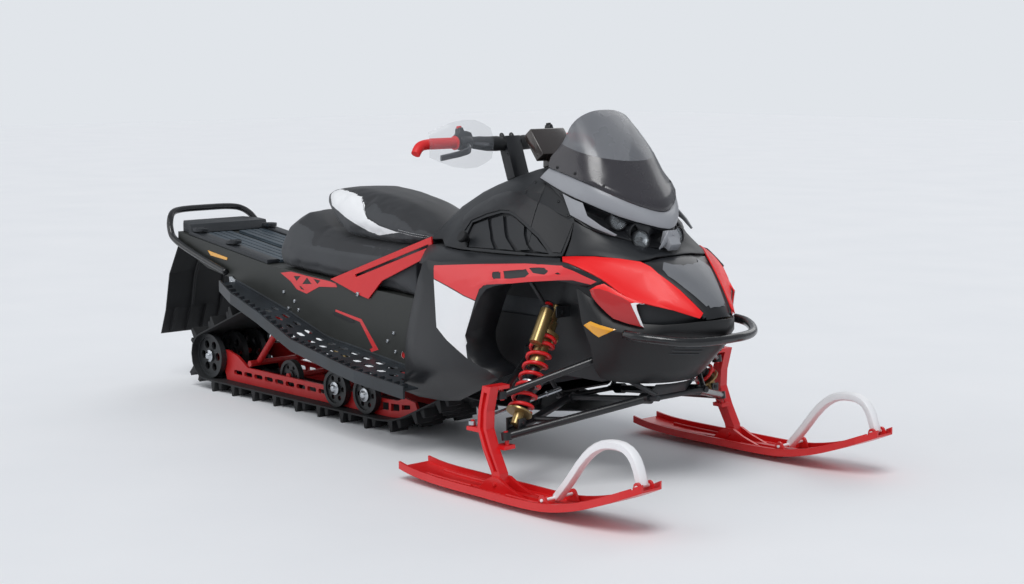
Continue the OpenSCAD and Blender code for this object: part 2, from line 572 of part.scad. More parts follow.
// Side panel: pairs of the outer edge and the edge round the ski arch, then the arch's inner wall
panel_rows = [
  [[1122, 279, 668], [1108, 285, 656], [1068, 292, 640], [1066, 274, 642]],
  [[1038, 311, 704], [1034, 319, 684], [1014, 322, 654], [1012, 298, 656]],
  [[986, 323, 717], [968, 340, 692], [950, 350, 656], [946, 286, 658]],
  [[850, 334, 712], [830, 360, 676], [802, 380, 636], [800, 280, 640]],
  [[640, 348, 694], [672, 372, 654], [706, 382, 610], [706, 270, 614]],
  [[436, 356, 674], [540, 374, 620], [664, 384, 560], [668, 266, 562]],
  [[366, 360, 668], [480, 376, 580], [634, 384, 508], [640, 262, 510]],
  [[312, 360, 532], [440, 380, 492], [606, 384, 452], [614, 260, 452]],
  [[272, 360, 400], [420, 382, 400], [612, 382, 404], [622, 258, 406]],
  [[256, 352, 300], [420, 376, 310], [638, 376, 366], [646, 254, 370]],
  [[244, 340, 214], [420, 330, 240], [690, 362, 346], [692, 250, 352]],
  [[330, 300, 196], [480, 300, 210], [716, 340, 318], [712, 248, 330]]];
module side_panel() skin(fine(panel_rows, 2, 2), panel_t, 1);

module side_panel_left() color("#1f2124") side_panel();
module side_panel_right() color("#1f2124") mirror([0, 1, 0]) side_panel();

module gauge() color("#2b2522") {
  translate([600, 0, 1052]) rotate([0, -38, 0]) {
    difference() {
      translate([-20, -78, -52]) cube([40, 156, 104]);
      translate([-21, -70, -44]) cube([10, 140, 88]);
    }
  }
  side_view(-26, 26) polygon([[590, 973], [640, 983], [640, 1020], [590, 1040]]);
}

// Kingpin axis, from the lower to the upper ball joint, left side
stance = ski_stance / 2;
king_low = [925, stance - 43.5, 187];
king_high = [905, stance - 43.5, 312];
king_dir = unit(king_high - king_low);
king_lean = atan2(king_dir[0], king_dir[2]);
module on_king(p) translate(p) rotate([0, king_lean, 0]) children();
cup_r = 17;
cup_h = 24;

module arm(out, front, rear, r, brace) {
  u = unit(front - rear);
  difference() {
    union() {
      on_king(out) translate([0, 0, -cup_h / 2]) cylinder(h = cup_h, r = cup_r);
      rod(out, front, r);
      rod(out, rear, r);
      for (p = [front, rear]) rod(p - bush_half * u, p + bush_half * u, 17);
      if (brace) rod(mix(out, front, 0.42), mix(out, rear, 0.42), r - 3);
    }
    on_king(out) translate([0, 0, -cup_h]) cylinder(h = 2 * cup_h, r = stud_d / 2 + run);
    for (p = [front, rear]) rod(p - 2 * bush_half * u, p + 2 * bush_half * u, pin_r + run);
  }
}
module lower_arms() color("#1a1b1d") pair() {
  arm(king_low, lower_front, lower_rear, arm_d / 2, true);
  // Ears and pin of the shock absorber's lower eye
  for (k = [-1, 1]) translate(shock_low + 21 * k * shock_pin - [2.5, 15, 34]) cube([5, 30, 46]);
  rod(shock_low - 27 * shock_pin, shock_low + 27 * shock_pin, 6 - run);
}
module upper_arms() color("#1a1b1d") pair() arm(king_high, upper_front, upper_rear, arm_d / 2 - 2, false);

shock_len = norm(shock_low - shock_top);
module front_shock() along(shock_low, shock_top) {
  difference() {
    union() {
      translate([0, 0, -10]) cylinder(h = 46, r = 15);
      translate([0, 0, 30]) cylinder(h = 6, r = spring_d / 2 + 4);
      translate([0, 0, 36]) cylinder(h = 160, r = 8);
      translate([0, 0, 190]) cylinder(h = shock_len - 230, r = shock_d / 2);
      translate([0, 0, shock_len - 96]) cylinder(h = 12, r = spring_d / 2 + 4);
      translate([0, 0, shock_len - 42]) cylinder(h = 58, r = 18);
    }
    for (k = [[0, 6], [shock_len, 8]]) translate([0, 0, k[0]]) rotate([90, 0, 0])
      cylinder(h = 60, r = k[1], center = true);
  }
  // Oil reservoir beside the body
  translate([-62, 12, shock_len - 150]) cylinder(h = 122, r = 20);
}
// Shock absorber of the skid, from the upper idler axle to the front road wheels' axle
module skid_shock() difference() {
  union() {
    for (p = [[top_axle_x, top_axle_z], [road_x[0], road_z]]) cross_bar(p[0], p[1], -14, 14, 22);
    along([top_axle_x, 0, top_axle_z], [road_x[0], 0, road_z]) {
      translate([0, 0, 18]) cylinder(h = 250, r = 25);
      translate([0, 0, 260]) cylinder(h = 190, r = 9);
    }
  }
  for (p = [[top_axle_x, top_axle_z], [road_x[0], road_z]]) cross_bar(p[0], p[1], -30, 30, shaft_d / 2 + run);
}
module shocks() color("#a08a5c") {
  pair() front_shock();
  skid_shock();
}

module front_spring() along(shock_low, shock_top) {
  r = (spring_d - wire_d) / 2;
  h0 = 36 + wire_d / 2 + 0.5;
  h1 = shock_len - 96 - wire_d / 2 - 0.5;
  steps = 12;
  bar([for (k = [0:spring_turns * steps]) let (a = 360 * k / steps, t = k / (spring_turns * steps))
    [r * cos(a), r * sin(a), mix(h0, h1, t)]], round_sect(wire_d / 2, 6), [0, 0, 1]);
}
module front_springs() color("#e0181c") pair() front_spring();

// Slide rails: outline in side view, with the front following the belt's curve
rail_low = inner_z + seat_gap;
front_pivot = [60, 302];
rail_curve = [for (k = [0:10]) let (a = 25 * k / 10)
  [lift_x + (lift_r - seat_gap) * sin(a), inner_z + lift_r - (lift_r - seat_gap) * cos(a)]];
rear_axle_z = inner_z + rear_wheel_r;
module rail_outline() polygon(concat([[-1170, rail_low]], rail_curve,
  [[40, 120], [-20, 128], [-60, 112], [-190, 108], [-1020, 112], [-1090, 150], [-1170, 168],
   [-1270, rear_axle_z + 22], [-1280, rear_axle_z], [-1262, rear_axle_z - 22], [-1190, 96]]));
module slot(half, r) {
  square([2 * half, 2 * r], center = true);
  for (s = [-1, 1]) translate([s * half, 0]) circle(r = r);
}
module slide_rail() difference() {
  side_view(rail_y, rail_y + rail_t) {
    difference() {
      rail_outline();
      for (i = [0:8]) translate([-1090 + i * 72, 84]) slot(20, 9);
      for (i = [0:2]) polygon([[-160 + 62 * i, 66 + 4 * i * i], [-112 + 62 * i, 70 + 5 * i * i],
        [-112 + 62 * i, 98 + 2 * i * i], [-160 + 62 * i, 96 + i * i]]);
    }
  }
  for (p = [[-rear_axle_back, rear_axle_z], [-1000, 132]])
    cross_bar(p[0], p[1], rail_y - cut, rail_y + rail_t + cut, shaft_d / 2 + run);
  for (x = road_x) cross_bar(x, road_z, rail_y - cut, rail_y + rail_t + cut, shaft_d / 2 + run);
}
module slide_rails() color("#c8191d") pair() slide_rail();

road_x = [-399, -217];
road_z = inner_z + road_wheel_r;
module wheel(x, z, y, r) translate([x, y, z]) rotate([90, 0, 0]) difference() {
  translate([0, 0, -wheel_w / 2]) cylinder(h = wheel_w, r = r);
  for (s = [0, 1]) mirror([0, 0, s]) translate([0, 0, 5]) difference() {
    cylinder(h = wheel_w, r = r - 13);
    translate([0, 0, -1]) cylinder(h = wheel_w + 2, r = 24);
  }
  for (k = [0:5]) rotate(60 * k) translate([(r - 13 + 24) / 2, 0, -wheel_w]) cylinder(h = 2 * wheel_w, r = (r - 41) / 3);
  translate([0, 0, -wheel_w]) cylinder(h = 2 * wheel_w, r = shaft_d / 2 + run);
}
outer_y = rail_y + rail_t + wheel_w / 2 + 6;
inner_y = rail_y - wheel_w / 2 - 8;
module idler_wheels() color("#1c1d1f") {
  for (s = [-1, 1]) {
    wheel(-rear_axle_back, rear_axle_z, s * outer_y, rear_wheel_r - run);
    wheel(-rear_axle_back, rear_axle_z, s * 45, rear_wheel_r - run);
    for (x = road_x) wheel(x, road_z, s * outer_y, road_wheel_r - run);
    wheel(top_axle_x, top_axle_z, s * 60, top_wheel_r - run);
    wheel(-760, inner_z + 64, s * inner_y, 64 - run);
  }
}

module skid_arms() color("#c8191d") {
  w = outer_y + wheel_w / 2 + 4;
  cross_bar(-rear_axle_back, rear_axle_z, -w, w, shaft_d / 2);
  for (x = road_x) cross_bar(x, road_z, -w, w, shaft_d / 2);
  cross_bar(-1000, 132, -rail_y - rail_t - 4, rail_y + rail_t + 4, shaft_d / 2);
  cross_bar(-760, inner_z + 64, -rail_y, rail_y, shaft_d / 2);
  cross_bar(top_axle_x, top_axle_z, -half_w + sheet + 0.3, half_w - sheet - 0.3, shaft_d / 2);
  cross_bar(front_pivot[0], front_pivot[1], -half_w + sheet + 0.3, half_w - sheet - 0.3, shaft_d / 2);
  for (s = [-1, 1]) {
    rod([top_axle_x, s * 96, top_axle_z], [-1000, s * 96, 132], 13);
    rod([front_pivot[0], s * 80, front_pivot[1]], [road_x[1], s * 80, road_z], 13);
  }
}

module drive_axle() color("#232527") {
  cross_bar(drive_axle_x, drive_axle_z, -half_w - 18, half_w + 18, shaft_d / 2);
  for (s = [-1, 1]) translate([drive_axle_x, s * 72, drive_axle_z]) rotate([90, 0, 0]) difference() {
    translate([0, 0, -18]) cylinder(h = 36, r = drive_r - run);
    for (k = [0:7]) rotate(45 * k) translate([52, 0, -19]) cylinder(h = 38, r = 12);
    translate([0, 0, -20]) cylinder(h = 40, r = shaft_d / 2 - 0.01);
  }
}

// Track: the belt and its lugs are one outline for each band across the width
lug_shape = [[0.24, 0], [0.34, 1], [0.50, 1], [0.62, 0]];
function lug_outline(odd) = [for (k = [0:2 * lug_pairs - 1]) each concat(
  [belt_at(k * pitch, belt_t)],
  k % 2 == odd ? [for (q = lug_shape) belt_at((k + q[0]) * pitch, belt_t + q[1] * lug_h)]
    : [belt_at((k + 0.5) * pitch, belt_t)])];
belt_inside = [for (i = [0:3]) let (n = ceil((leaves[i] - enters[i]) * sqrt(wraps[i][2]) / 50))
  for (k = [0:n]) let (a = mix(enters[i], leaves[i], k / n))
    [wraps[i][0] + wraps[i][2] * sin(a), wraps[i][1] - wraps[i][2] * cos(a)]];
band_y = [-0.5, -0.31, -0.12, 0.12, 0.31, 0.5];
module track() color("#17181a") for (b = [0:4]) {
  side_view(band_y[b] * track_w, band_y[b + 1] * track_w) difference() {
    polygon(lug_outline(b % 2));
    polygon(belt_inside);
  }
}

// Steering: post, handlebar with hooked ends, grips and guards
post_top = post_foot + 128 * post_dir;
module steering_post() color("#1d1f22") {
  along(bearing - 40 * post_dir, post_foot) cylinder(h = norm(post_foot - bearing) + 40, r = post_d / 2);
  difference() {
    along(post_foot - 1 * post_dir, post_top) translate([-20, -34, 0]) cube([40, 68, 146]);
    bar(full_bar, round_sect(bar_d / 2 + run, 10), [0, 0, 1]);
  }
}
bar_z = post_top[2] - 4;
bar_x = post_top[0];
bar_path = [[bar_x, 0, bar_z], [bar_x - 4, 90, bar_z + 2], [bar_x - 18, 180, bar_z + 8],
  [bar_x - 22, 260, bar_z + 8], [bar_x - 20, bar_half, bar_z + 6], [bar_x - 16, bar_half + 30, bar_z + 2],
  [bar_x - 10, bar_half + 52, bar_z - 22]];
half_bar = smooth(bar_path, 2);
full_bar = concat([for (i = [len(half_bar) - 1:-1:1]) other(half_bar[i])], half_bar);
module handlebar() color("#1d1f22") bar(full_bar, round_sect(bar_d / 2, 10), [0, 0, 1]);
module grips() color("#141517") pair() {
  difference() {
    bar([for (i = [4:8]) half_bar[i]], round_sect(17, 10), [0, 0, 1]);
    bar([for (i = [3:9]) half_bar[i]], round_sect(bar_d / 2 + run, 10), [0, 0, 1]);
  }
}
guard_rows = [
  [[512, 186, 1010], [524, 186, 1062], [510, 188, 1108]],
  [[506, 246, 982], [522, 248, 1060], [504, 250, 1136]],
  [[480, 322, 986], [498, 328, 1058], [478, 326, 1130]],
  [[436, 386, 1018], [448, 394, 1058], [436, 390, 1098]]];
module hand_guards() color("#c9ccd0") pair() {
  skin(fine(guard_rows, 2, 2), 3, 1);
  // Stay from the handlebar to the guard
  rod([bar_x - 15 + bar_d / 2 + 1, 163, bar_z + 7], [524, 204, 1056], 5);
}

// Ski spindle: a bent forged column with tabs to the ball studs and a steering arm
ski_top = keel_h + ski_t;
ski_bolt_z = ski_top + 25;
tie_end = [815, stance - 3.5, 219];
column_back = [[ski_bolt_x - 18, 46], [ski_bolt_x - 28, 84], [884, 150], [860, 212], [864, 268], [880, 330], [884, 346]];
column_front = [[922, 346], [918, 330], [902, 268], [900, 212], [926, 150], [ski_bolt_x + 12, 84],
  [ski_bolt_x + 18, 46]];
module column_outline() union() {
  polygon(concat(column_back, column_front));
  translate([ski_bolt_x, ski_bolt_z]) circle(r = 18);
}
module spindle() {
  difference() {
    union() {
      side_view(stance - spindle_t / 2, stance + spindle_t / 2) column_outline();
      // Tabs that carry the ball studs
      side_view(king_high[1] - cup_r, stance - spindle_t / 2 + 1) polygon([[884, 334], [922, 334], [922, 346], [884, 346]]);
      side_view(king_low[1] - cup_r, stance - spindle_t / 2 + 1) polygon([[906, 150], [948, 150], [946, 162], [904, 162]]);
      side_view(tie_end[1] - 14, tie_end[1] + 14) polygon([[tie_end[0] - 14, 196], [tie_end[0] - 14, 208], [884, 212],
        [884, 196]]);
    }
    side_view(stance + spindle_t / 2 - 10, stance + spindle_t / 2 + cut)
      polygon([[ski_bolt_x - 15, 88], [898, 152], [872, 212], [876, 268], [890, 326], [906, 326], [890, 268], [888, 212], [914, 152],
        [ski_bolt_x, 88]]);
    cross_bar(ski_bolt_x, ski_bolt_z, stance - spindle_t, stance + spindle_t, ski_bolt_d / 2 + run);
  }
  on_king(king_high) translate([0, 0, -cup_h / 2 - 4]) cylinder(h = 44, r = stud_d / 2);
  on_king(king_low) translate([0, 0, -30]) cylinder(h = 46, r = stud_d / 2);
  translate([tie_end[0], tie_end[1], 204]) cylinder(h = 24, r = 6);
}
module spindle_left() color("#d3181c") spindle();
module spindle_right() color("#d3181c") mirror([0, 1, 0]) spindle();

tie_inner = [851, 196, 287];
module tie_rod() difference() {
  union() {
    translate(tie_end - [0, 0, 6]) cylinder(h = 12, r = 13);
    rod(tie_end, tie_inner, 6);
    rod(mix(tie_end, tie_inner, 0.06), mix(tie_end, tie_inner, 0.2), 8);
    rod(mix(tie_end, tie_inner, 0.84), tie_inner, 8);
  }
  translate(tie_end - [0, 0, 20]) cylinder(h = 40, r = 6 + run);
}
module tie_rod_left() color("#b9bcc0") tie_rod();
module tie_rod_right() color("#b9bcc0") mirror([0, 1, 0]) tie_rod();

// Ski: the height of its sole along its length, measured from the ski bolt
sole = smooth([[-420, keel_h + 16], [-340, keel_h + 5], [-200, keel_h], [0, keel_h], [180, keel_h],
  [290, keel_h + 8], [400, keel_h + 32], [500, keel_h + 66], [580, keel_h + 98], [627, keel_h + 118]], 3);
function lift(list, up) = [for (p = list) p + [ski_bolt_x, up]];
function back_again(list) = [for (i = [len(list) - 1:-1:0]) list[i]];
module sole_band(low, high) polygon(concat(lift(sole, high), back_again(lift(sole, low))));
ski_half = ski_w / 2;
module ski_plan(inset) translate([ski_bolt_x, stance]) polygon(concat(
  [[-421, ski_half - 16 - inset], [-200, ski_half - 4 - inset], [100, ski_half - inset],
   [420, ski_half - 4 - inset], [560, ski_half - 16 - inset], [628, ski_half - 40 - inset]],
  [[628, -ski_half + 40 + inset], [560, -ski_half + 16 + inset], [420, -ski_half + 4 + inset],
   [100, -ski_half + inset], [-200, -ski_half + 4 + inset], [-421, -ski_half + 16 + inset]]));
rim_h = 24;
rim_t = 7;
saddle_in = spindle_t / 2 + 0.5;
saddle_t = 10;
module saddle_outline() polygon([[ski_bolt_x - 78, ski_top - 2], [ski_bolt_x - 40, ski_top + 34],
  [ski_bolt_x - 16, ski_top + 46], [ski_bolt_x + 16, ski_top + 46], [ski_bolt_x + 60, ski_top + 26],
  [ski_bolt_x + 150, ski_top - 2]]);
module ski() {
  difference() {
    union() {
      intersection() {
        side_view(stance - ski_w, stance + ski_w) sole_band(0, ski_t);
        plan_view(-10, 400) ski_plan(0);
      }
      difference() {
        intersection() {
          side_view(stance - ski_w, stance + ski_w) sole_band(0, rim_h);
          plan_view(-10, 400) ski_plan(0);
        }
        plan_view(-10, 400) ski_plan(rim_t);
      }
      // Keel with its wear bar
      side_view(stance - 11, stance + 11) polygon([[ski_bolt_x - 330, keel_h + 6], [ski_bolt_x - 230, 5],
        [ski_bolt_x - 200, 0], [ski_bolt_x + 190, 0], [ski_bolt_x + 220, 5], [ski_bolt_x + 330, keel_h + 20]]);
      for (s = [-1, 1]) side_view(stance + s * (saddle_in + saddle_t / 2) - saddle_t / 2,
        stance + s * (saddle_in + saddle_t / 2) + saddle_t / 2) saddle_outline();
      // Ears for the loop bolts
      for (s = [-1, 1]) {
        side_view(stance + s * ear_y - 4, stance + s * ear_y + 4) {
          translate(loop_rear) circle(r = 15);
          polygon([loop_rear + [-24, -24], loop_rear + [-14, 6], loop_rear + [14, 6], loop_rear + [26, -20]]);
        }
        side_view(stance + s * tip_ear_y - 4, stance + s * tip_ear_y + 4) {
          translate(loop_front) circle(r = 13);
          polygon([loop_front + [-20, -30], loop_front + [-12, 5], loop_front + [12, 5], loop_front + [18, -12]]);
        }
      }
    }
    for (s = [-1, 1]) {
      cross_bar(loop_rear[0], loop_rear[1], stance - ski_w, stance + ski_w, 5);
      cross_bar(loop_front[0], loop_front[1], stance - ski_w, stance + ski_w, 5);
    }
  }
  // Ski bolt
  cross_bar(ski_bolt_x, ski_bolt_z, stance - saddle_in - saddle_t - 6, stance + saddle_in + saddle_t + 6, ski_bolt_d / 2);
}
ear_y = ski_half - rim_t - 12;
tip_ear_y = 24;
loop_rear = [ski_bolt_x + 250, keel_h + 34];
loop_front = [ski_bolt_x + 596, keel_h + 128];
module ski_left() color("#d3181c") ski();
module ski_right() color("#d3181c") mirror([0, 1, 0]) ski();

loop_sect = [[-9, -16], [-14, -8], [-14, 8], [-9, 16], [9, 16], [14, 8], [14, -8], [9, -16]];
module ski_loop() {
  side = smooth([[loop_rear[0], stance, loop_rear[1]], [ski_bolt_x + 300, stance, 110], [ski_bolt_x + 372, stance, 196],
    [ski_bolt_x + 440, stance, 240], [ski_bolt_x + 520, stance, 246], [ski_bolt_x + 566, stance, 214],
    [loop_front[0] - 4, stance, loop_front[1]]], 3);
  bar(side, loop_sect, [0, 1, 0]);
  cross_bar(loop_rear[0], loop_rear[1], stance - ear_y - 8, stance + ear_y + 8, 5 - run);
  cross_bar(loop_front[0], loop_front[1], stance - tip_ear_y - 8, stance + tip_ear_y + 8, 5 - run);
}
module ski_loop_left() color("#f2f2f2") ski_loop();
module ski_loop_right() color("#f2f2f2") mirror([0, 1, 0]) ski_loop();

tunnel();
running_boards();
rear_deck();
rear_grab_bar();
snow_flap();
driver_seat();
rear_seat();
seat_braces();
fuel_tank();
front_frame();
engine_block();
console();
hood();
nose_panel();
hood_sides();
windshield_bezel();
headlamps();
windshield();
lower_nose();
belly_pan();
front_bumper();
side_panel_right();
side_panel_left();
gauge();
lower_arms();
upper_arms();
shocks();
front_springs();
slide_rails();
skid_arms();
idler_wheels();
drive_axle();
track();
steering_post();
handlebar();
grips();
hand_guards();
spindle_right();
spindle_left();
tie_rod_right();
tie_rod_left();
ski_right();
ski_left();
ski_loop_right();
ski_loop_left();
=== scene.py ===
"""Dressed model of a trail snowmobile, laid out as a Blender add-on and run as a script."""

import math

import bmesh
import bpy
from mathutils import Matrix, Quaternion, Vector
from mathutils.bvhtree import BVHTree


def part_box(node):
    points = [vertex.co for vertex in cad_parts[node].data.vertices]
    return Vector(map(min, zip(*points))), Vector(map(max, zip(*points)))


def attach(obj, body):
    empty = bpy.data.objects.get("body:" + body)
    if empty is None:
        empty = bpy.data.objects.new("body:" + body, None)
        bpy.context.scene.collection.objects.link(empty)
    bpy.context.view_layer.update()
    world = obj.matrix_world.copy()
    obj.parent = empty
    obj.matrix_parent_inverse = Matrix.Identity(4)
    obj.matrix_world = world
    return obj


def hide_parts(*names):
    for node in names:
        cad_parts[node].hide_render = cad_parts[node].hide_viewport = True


bl_info = {
    "name": "Trail Snowmobile",
    "version": (1, 0, 0),
    "blender": (4, 5, 0),
    "location": "View3D > Sidebar > Snowmobile",
    "description": "Seats, trims, lamps and finishes of a trail snowmobile on its packed frame",
    "category": "Object",
}

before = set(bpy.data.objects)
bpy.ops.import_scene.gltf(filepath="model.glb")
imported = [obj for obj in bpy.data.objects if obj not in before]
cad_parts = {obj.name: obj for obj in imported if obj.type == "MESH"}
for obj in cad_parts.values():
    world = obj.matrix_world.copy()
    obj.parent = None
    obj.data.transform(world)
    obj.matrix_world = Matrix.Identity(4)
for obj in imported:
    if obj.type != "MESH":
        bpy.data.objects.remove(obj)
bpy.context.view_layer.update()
MM = 0.001
RIGHT = -1
LEFT = 1
MATERIALS = {}
SKINS = {}


def linear(code):
    """Turns an sRGB hex colour into the linear values that the shader mixes."""
    parts = [int(code[i : i + 2], 16) / 255 for i in (0, 2, 4)]
    return [p / 12.92 if p <= 0.04045 else ((p + 0.055) / 1.055) ** 2.4 for p in parts] + [1.0]


def add(tree, kind, inputs=None, **settings):
    """Adds a node to a material, with its settings, and sets or links its inputs."""
    made = tree.nodes.new(kind)
    for key, value in settings.items():
        setattr(made, key, value)
    for key, value in (inputs or {}).items():
        if isinstance(value, bpy.types.NodeSocket):
            tree.links.new(value, made.inputs[key])
        else:
            made.inputs[key].default_value = value
    return made


def new_material(name):
    """Starts a material that has only its output, and returns it with its node tree."""
    made = bpy.data.materials.new(name)
    made.use_nodes = True
    made.node_tree.nodes.clear()
    MATERIALS[name] = made
    return made, made.node_tree


def close_material(tree, shader):
    """Links the shader to the material's output."""
    add(tree, "ShaderNodeOutputMaterial", {"Surface": shader.outputs[0]})


def worn_edges(tree, radius_mm):
    """A mask of the edges that hands and snow rub: 1 on sharp edges, 0 on flats."""
    rounded = add(tree, "ShaderNodeBevel", {"Radius": radius_mm * MM}, samples=4)
    flat = add(tree, "ShaderNodeNewGeometry")
    turn = add(
        tree,
        "ShaderNodeVectorMath",
        {0: rounded.outputs["Normal"], 1: flat.outputs["Normal"]},
        operation="DOT_PRODUCT",
    )
    mask = add(
        tree,
        "ShaderNodeMapRange",
        {"Value": turn.outputs["Value"], "From Min": 0.985, "From Max": 0.86},
    )
    return rounded, mask.outputs["Result"]


def moulded(name, colour, light, roughness, grain_mm, depth, **more):
    """A moulded or coated surface: grain in the bump, cloudy colour, and edges rubbed lighter.

    colour is the body colour and light the colour that its rubbed edges and high spots show.
    grain_mm is the size of the grain, depth how deep it is in millimetres.
    """
    made, tree = new_material(name)
    place = add(tree, "ShaderNodeTexCoord").outputs["Object"]
    cloud = add(
        tree,
        "ShaderNodeTexNoise",
        {"Vector": place, "Scale": 1 / (140 * MM), "Detail": 4.0, "Roughness": 0.6},
    )
    grain = add(
        tree,
        "ShaderNodeTexNoise",
        {"Vector": place, "Scale": 1 / (grain_mm * MM), "Detail": 3.0, "Roughness": 0.55},
    )
    rounded, edge = worn_edges(tree, more.get("edge_mm", 1.2))
    tone = add(
        tree,
        "ShaderNodeMapRange",
        {"Value": cloud.outputs["Fac"], "From Min": 0.35, "From Max": 0.7, "To Max": more.get("cloud", 0.22)},
    )
    rubbed = add(
        tree,
        "ShaderNodeMath",
        {0: edge, 1: tone.outputs["Result"]},
        operation="MULTIPLY",
    )
    wear = add(
        tree,
        "ShaderNodeMath",
        {0: rubbed.outputs[0], 1: more.get("wear", 1.6)},
        operation="MULTIPLY",
    )
    amount = add(
        tree,
        "ShaderNodeMath",
        {0: wear.outputs[0], 1: tone.outputs["Result"]},
        operation="ADD",
        use_clamp=True,
    )
    base = add(
        tree,
        "ShaderNodeMix",
        {"Factor": amount.outputs[0], 6: linear(colour), 7: linear(light)},
        data_type="RGBA",
    )
    rough = add(
        tree,
        "ShaderNodeMapRange",
        {
            "Value": cloud.outputs["Fac"],
            "From Min": 0.3,
            "From Max": 0.75,
            "To Min": max(0.04, roughness - more.get("spread", 0.06)),
            "To Max": roughness + more.get("spread", 0.06),
        },
    )
    bump = add(
        tree,
        "ShaderNodeBump",
        {
            "Height": grain.outputs["Fac"],
            "Distance": depth * MM,
            "Strength": 1.0,
            "Normal": rounded.outputs["Normal"],
        },
    )
    shader = add(
        tree,
        "ShaderNodeBsdfPrincipled",
        {
            "Base Color": base.outputs[2],
            "Roughness": rough.outputs["Result"],
            "Normal": bump.outputs["Normal"],
            "Metallic": more.get("metallic", 0.0),
            "Coat Weight": more.get("coat", 0.0),
            "Coat Roughness": more.get("coat_rough", 0.1),
            "Sheen Weight": more.get("sheen", 0.0),
            "Alpha": more.get("alpha", 1.0),
        },
    )
    if not more.get("metallic"):
        shader.inputs["IOR"].default_value = more.get("ior", 1.5)
    close_material(tree, shader)
    return made


def make_materials():
    """Makes every finish of the machine, each from what the real surface is."""
    # Textured polypropylene of the body shells: fine leather-like tool grain, soft gloss
    moulded("textured_shell", "1d1f22", "33363a", 0.44, 1.4, 0.05, ior=1.45, cloud=0.3)
    # Unpainted black ABS below the bumper, finer grain
    moulded("lower_shell_abs", "131416", "26282b", 0.46, 1.4, 0.04, ior=1.48, cloud=0.25)
    # Smoother black ABS of the panel rims and nose tip: less grain, more gloss
    moulded("smooth_black_abs", "17181b", "2c2f33", 0.34, 2.2, 0.02, ior=1.5, cloud=0.2)
    # Grey ABS of the nose panel: satin with a fine grain
    moulded("grey_abs", "6a6c70", "7d8085", 0.4, 1.6, 0.03, ior=1.53, cloud=0.25)
    # Silver-grey moulded fascia, painted satin
    moulded("silver_fascia", "909297", "a9abb0", 0.4, 2.5, 0.012, coat=0.15, cloud=0.2, wear=0.8)
    # Through-coloured red polyethylene of the hood sides: bright, glossy, hardly any grain
    moulded("bright_red_shell", "f40f14", "ff352c", 0.42, 3.0, 0.01, coat=0.1, cloud=0.12, wear=0.8)
    # The darker, cooler red of the hood blade
    moulded("deep_red_shell", "b01a1e", "cc2a2a", 0.32, 3.0, 0.01, coat=0.4, cloud=0.12, wear=0.8)
    # Red printed vinyl film on the side panels: flat, a little duller than the shells
    moulded("red_film", "df3338", "ea5052", 0.36, 4.0, 0.006, coat=0.3, cloud=0.15, wear=0.5)
    # White printed vinyl film
    moulded("white_film", "eceef0", "fbfbfc", 0.38, 4.0, 0.006, coat=0.25, cloud=0.3, wear=0.5)
    # Powder-coated aluminium of the tunnel: dark olive-grey, orange-peel surface
    moulded("tunnel_powder_coat", "2a2c2a", "3f4240", 0.46, 2.6, 0.03, cloud=0.3)
    # Pressed and coated aluminium of the running boards, rubbed by boots
    moulded("board_powder_coat", "1f2327", "444d55", 0.42, 2.6, 0.03, cloud=0.35, wear=2.4, edge_mm=1.6)
    # Blue-grey anodised extrusions of the heat exchangers on the deck
    moulded("exchanger_anodised", "3e4a53", "5c6a76", 0.38, 1.8, 0.02, metallic=0.35, cloud=0.3)
    # Black moulded rails and tail cap of the deck
    moulded("deck_rail_plastic", "26292d", "3d4146", 0.45, 1.6, 0.04, cloud=0.25)
    # Matt moulded covers of the console's pockets
    moulded("pocket_plastic", "1a1c1f", "2a2d30", 0.62, 1.4, 0.05, cloud=0.2)
    # Cut and brushed aluminium of the small brackets
    moulded("bracket_aluminium", "a4a8ac", "cfd2d5", 0.34, 1.0, 0.015, metallic=0.85, cloud=0.25)
    # Black painted steel tube, smooth and semi-gloss
    moulded("black_tube_paint", "141517", "2c2f33", 0.26, 3.0, 0.008, coat=0.3, cloud=0.2)
    # Chassis paint of the hidden frame
    moulded("frame_paint", "232528", "3c4044", 0.45, 2.4, 0.03, cloud=0.25)
    # Cast aluminium of the engine: coarse sand grain
    moulded("cast_aluminium", "55585c", "7d8186", 0.5, 2.0, 0.12, metallic=0.9, cloud=0.4)
    # Red powder coat on the steel spindles and aluminium braces
    moulded("red_powder_coat", "d8151b", "f03a36", 0.34, 2.4, 0.02, coat=0.2, cloud=0.18, wear=1.0)
    # Red anodised and coated slide rails, scuffed by snow and ice
    moulded("rail_red_coat", "b8181c", "d8403c", 0.42, 2.2, 0.03, cloud=0.35, wear=2.2)
    # Red polyethylene of the skis, waxy with long scuffs
    moulded("ski_polyethylene", "d2161a", "e8403c", 0.36, 2.6, 0.02, coat=0.2, cloud=0.25, wear=1.2)
    # White polyethylene of the ski loops
    moulded("loop_polyethylene", "eeeef0", "ffffff", 0.4, 2.6, 0.02, cloud=0.3, wear=0.5)
    # Gold-bronze hard-anodised shock bodies
    moulded("gold_anodised", "9a8458", "c0a878", 0.3, 1.6, 0.01, metallic=0.75, cloud=0.25)
    # Bright steel of shafts, tie rods and bolts
    moulded("bright_steel", "b4b8bd", "dfe2e5", 0.26, 1.2, 0.01, metallic=1.0, cloud=0.3)
    # Nylon of the idler wheels, matt with scuffs
    moulded("wheel_nylon", "1d1f21", "34373a", 0.5, 1.8, 0.05, cloud=0.3)
    # Moulded rubber of the track and flap: matt, dusty on its high edges
    moulded("track_rubber", "161719", "2e3033", 0.7, 1.8, 0.1, cloud=0.35, wear=1.8, edge_mm=2.0)
    moulded("flap_rubber", "17181a", "2b2d30", 0.58, 1.8, 0.06, cloud=0.3)
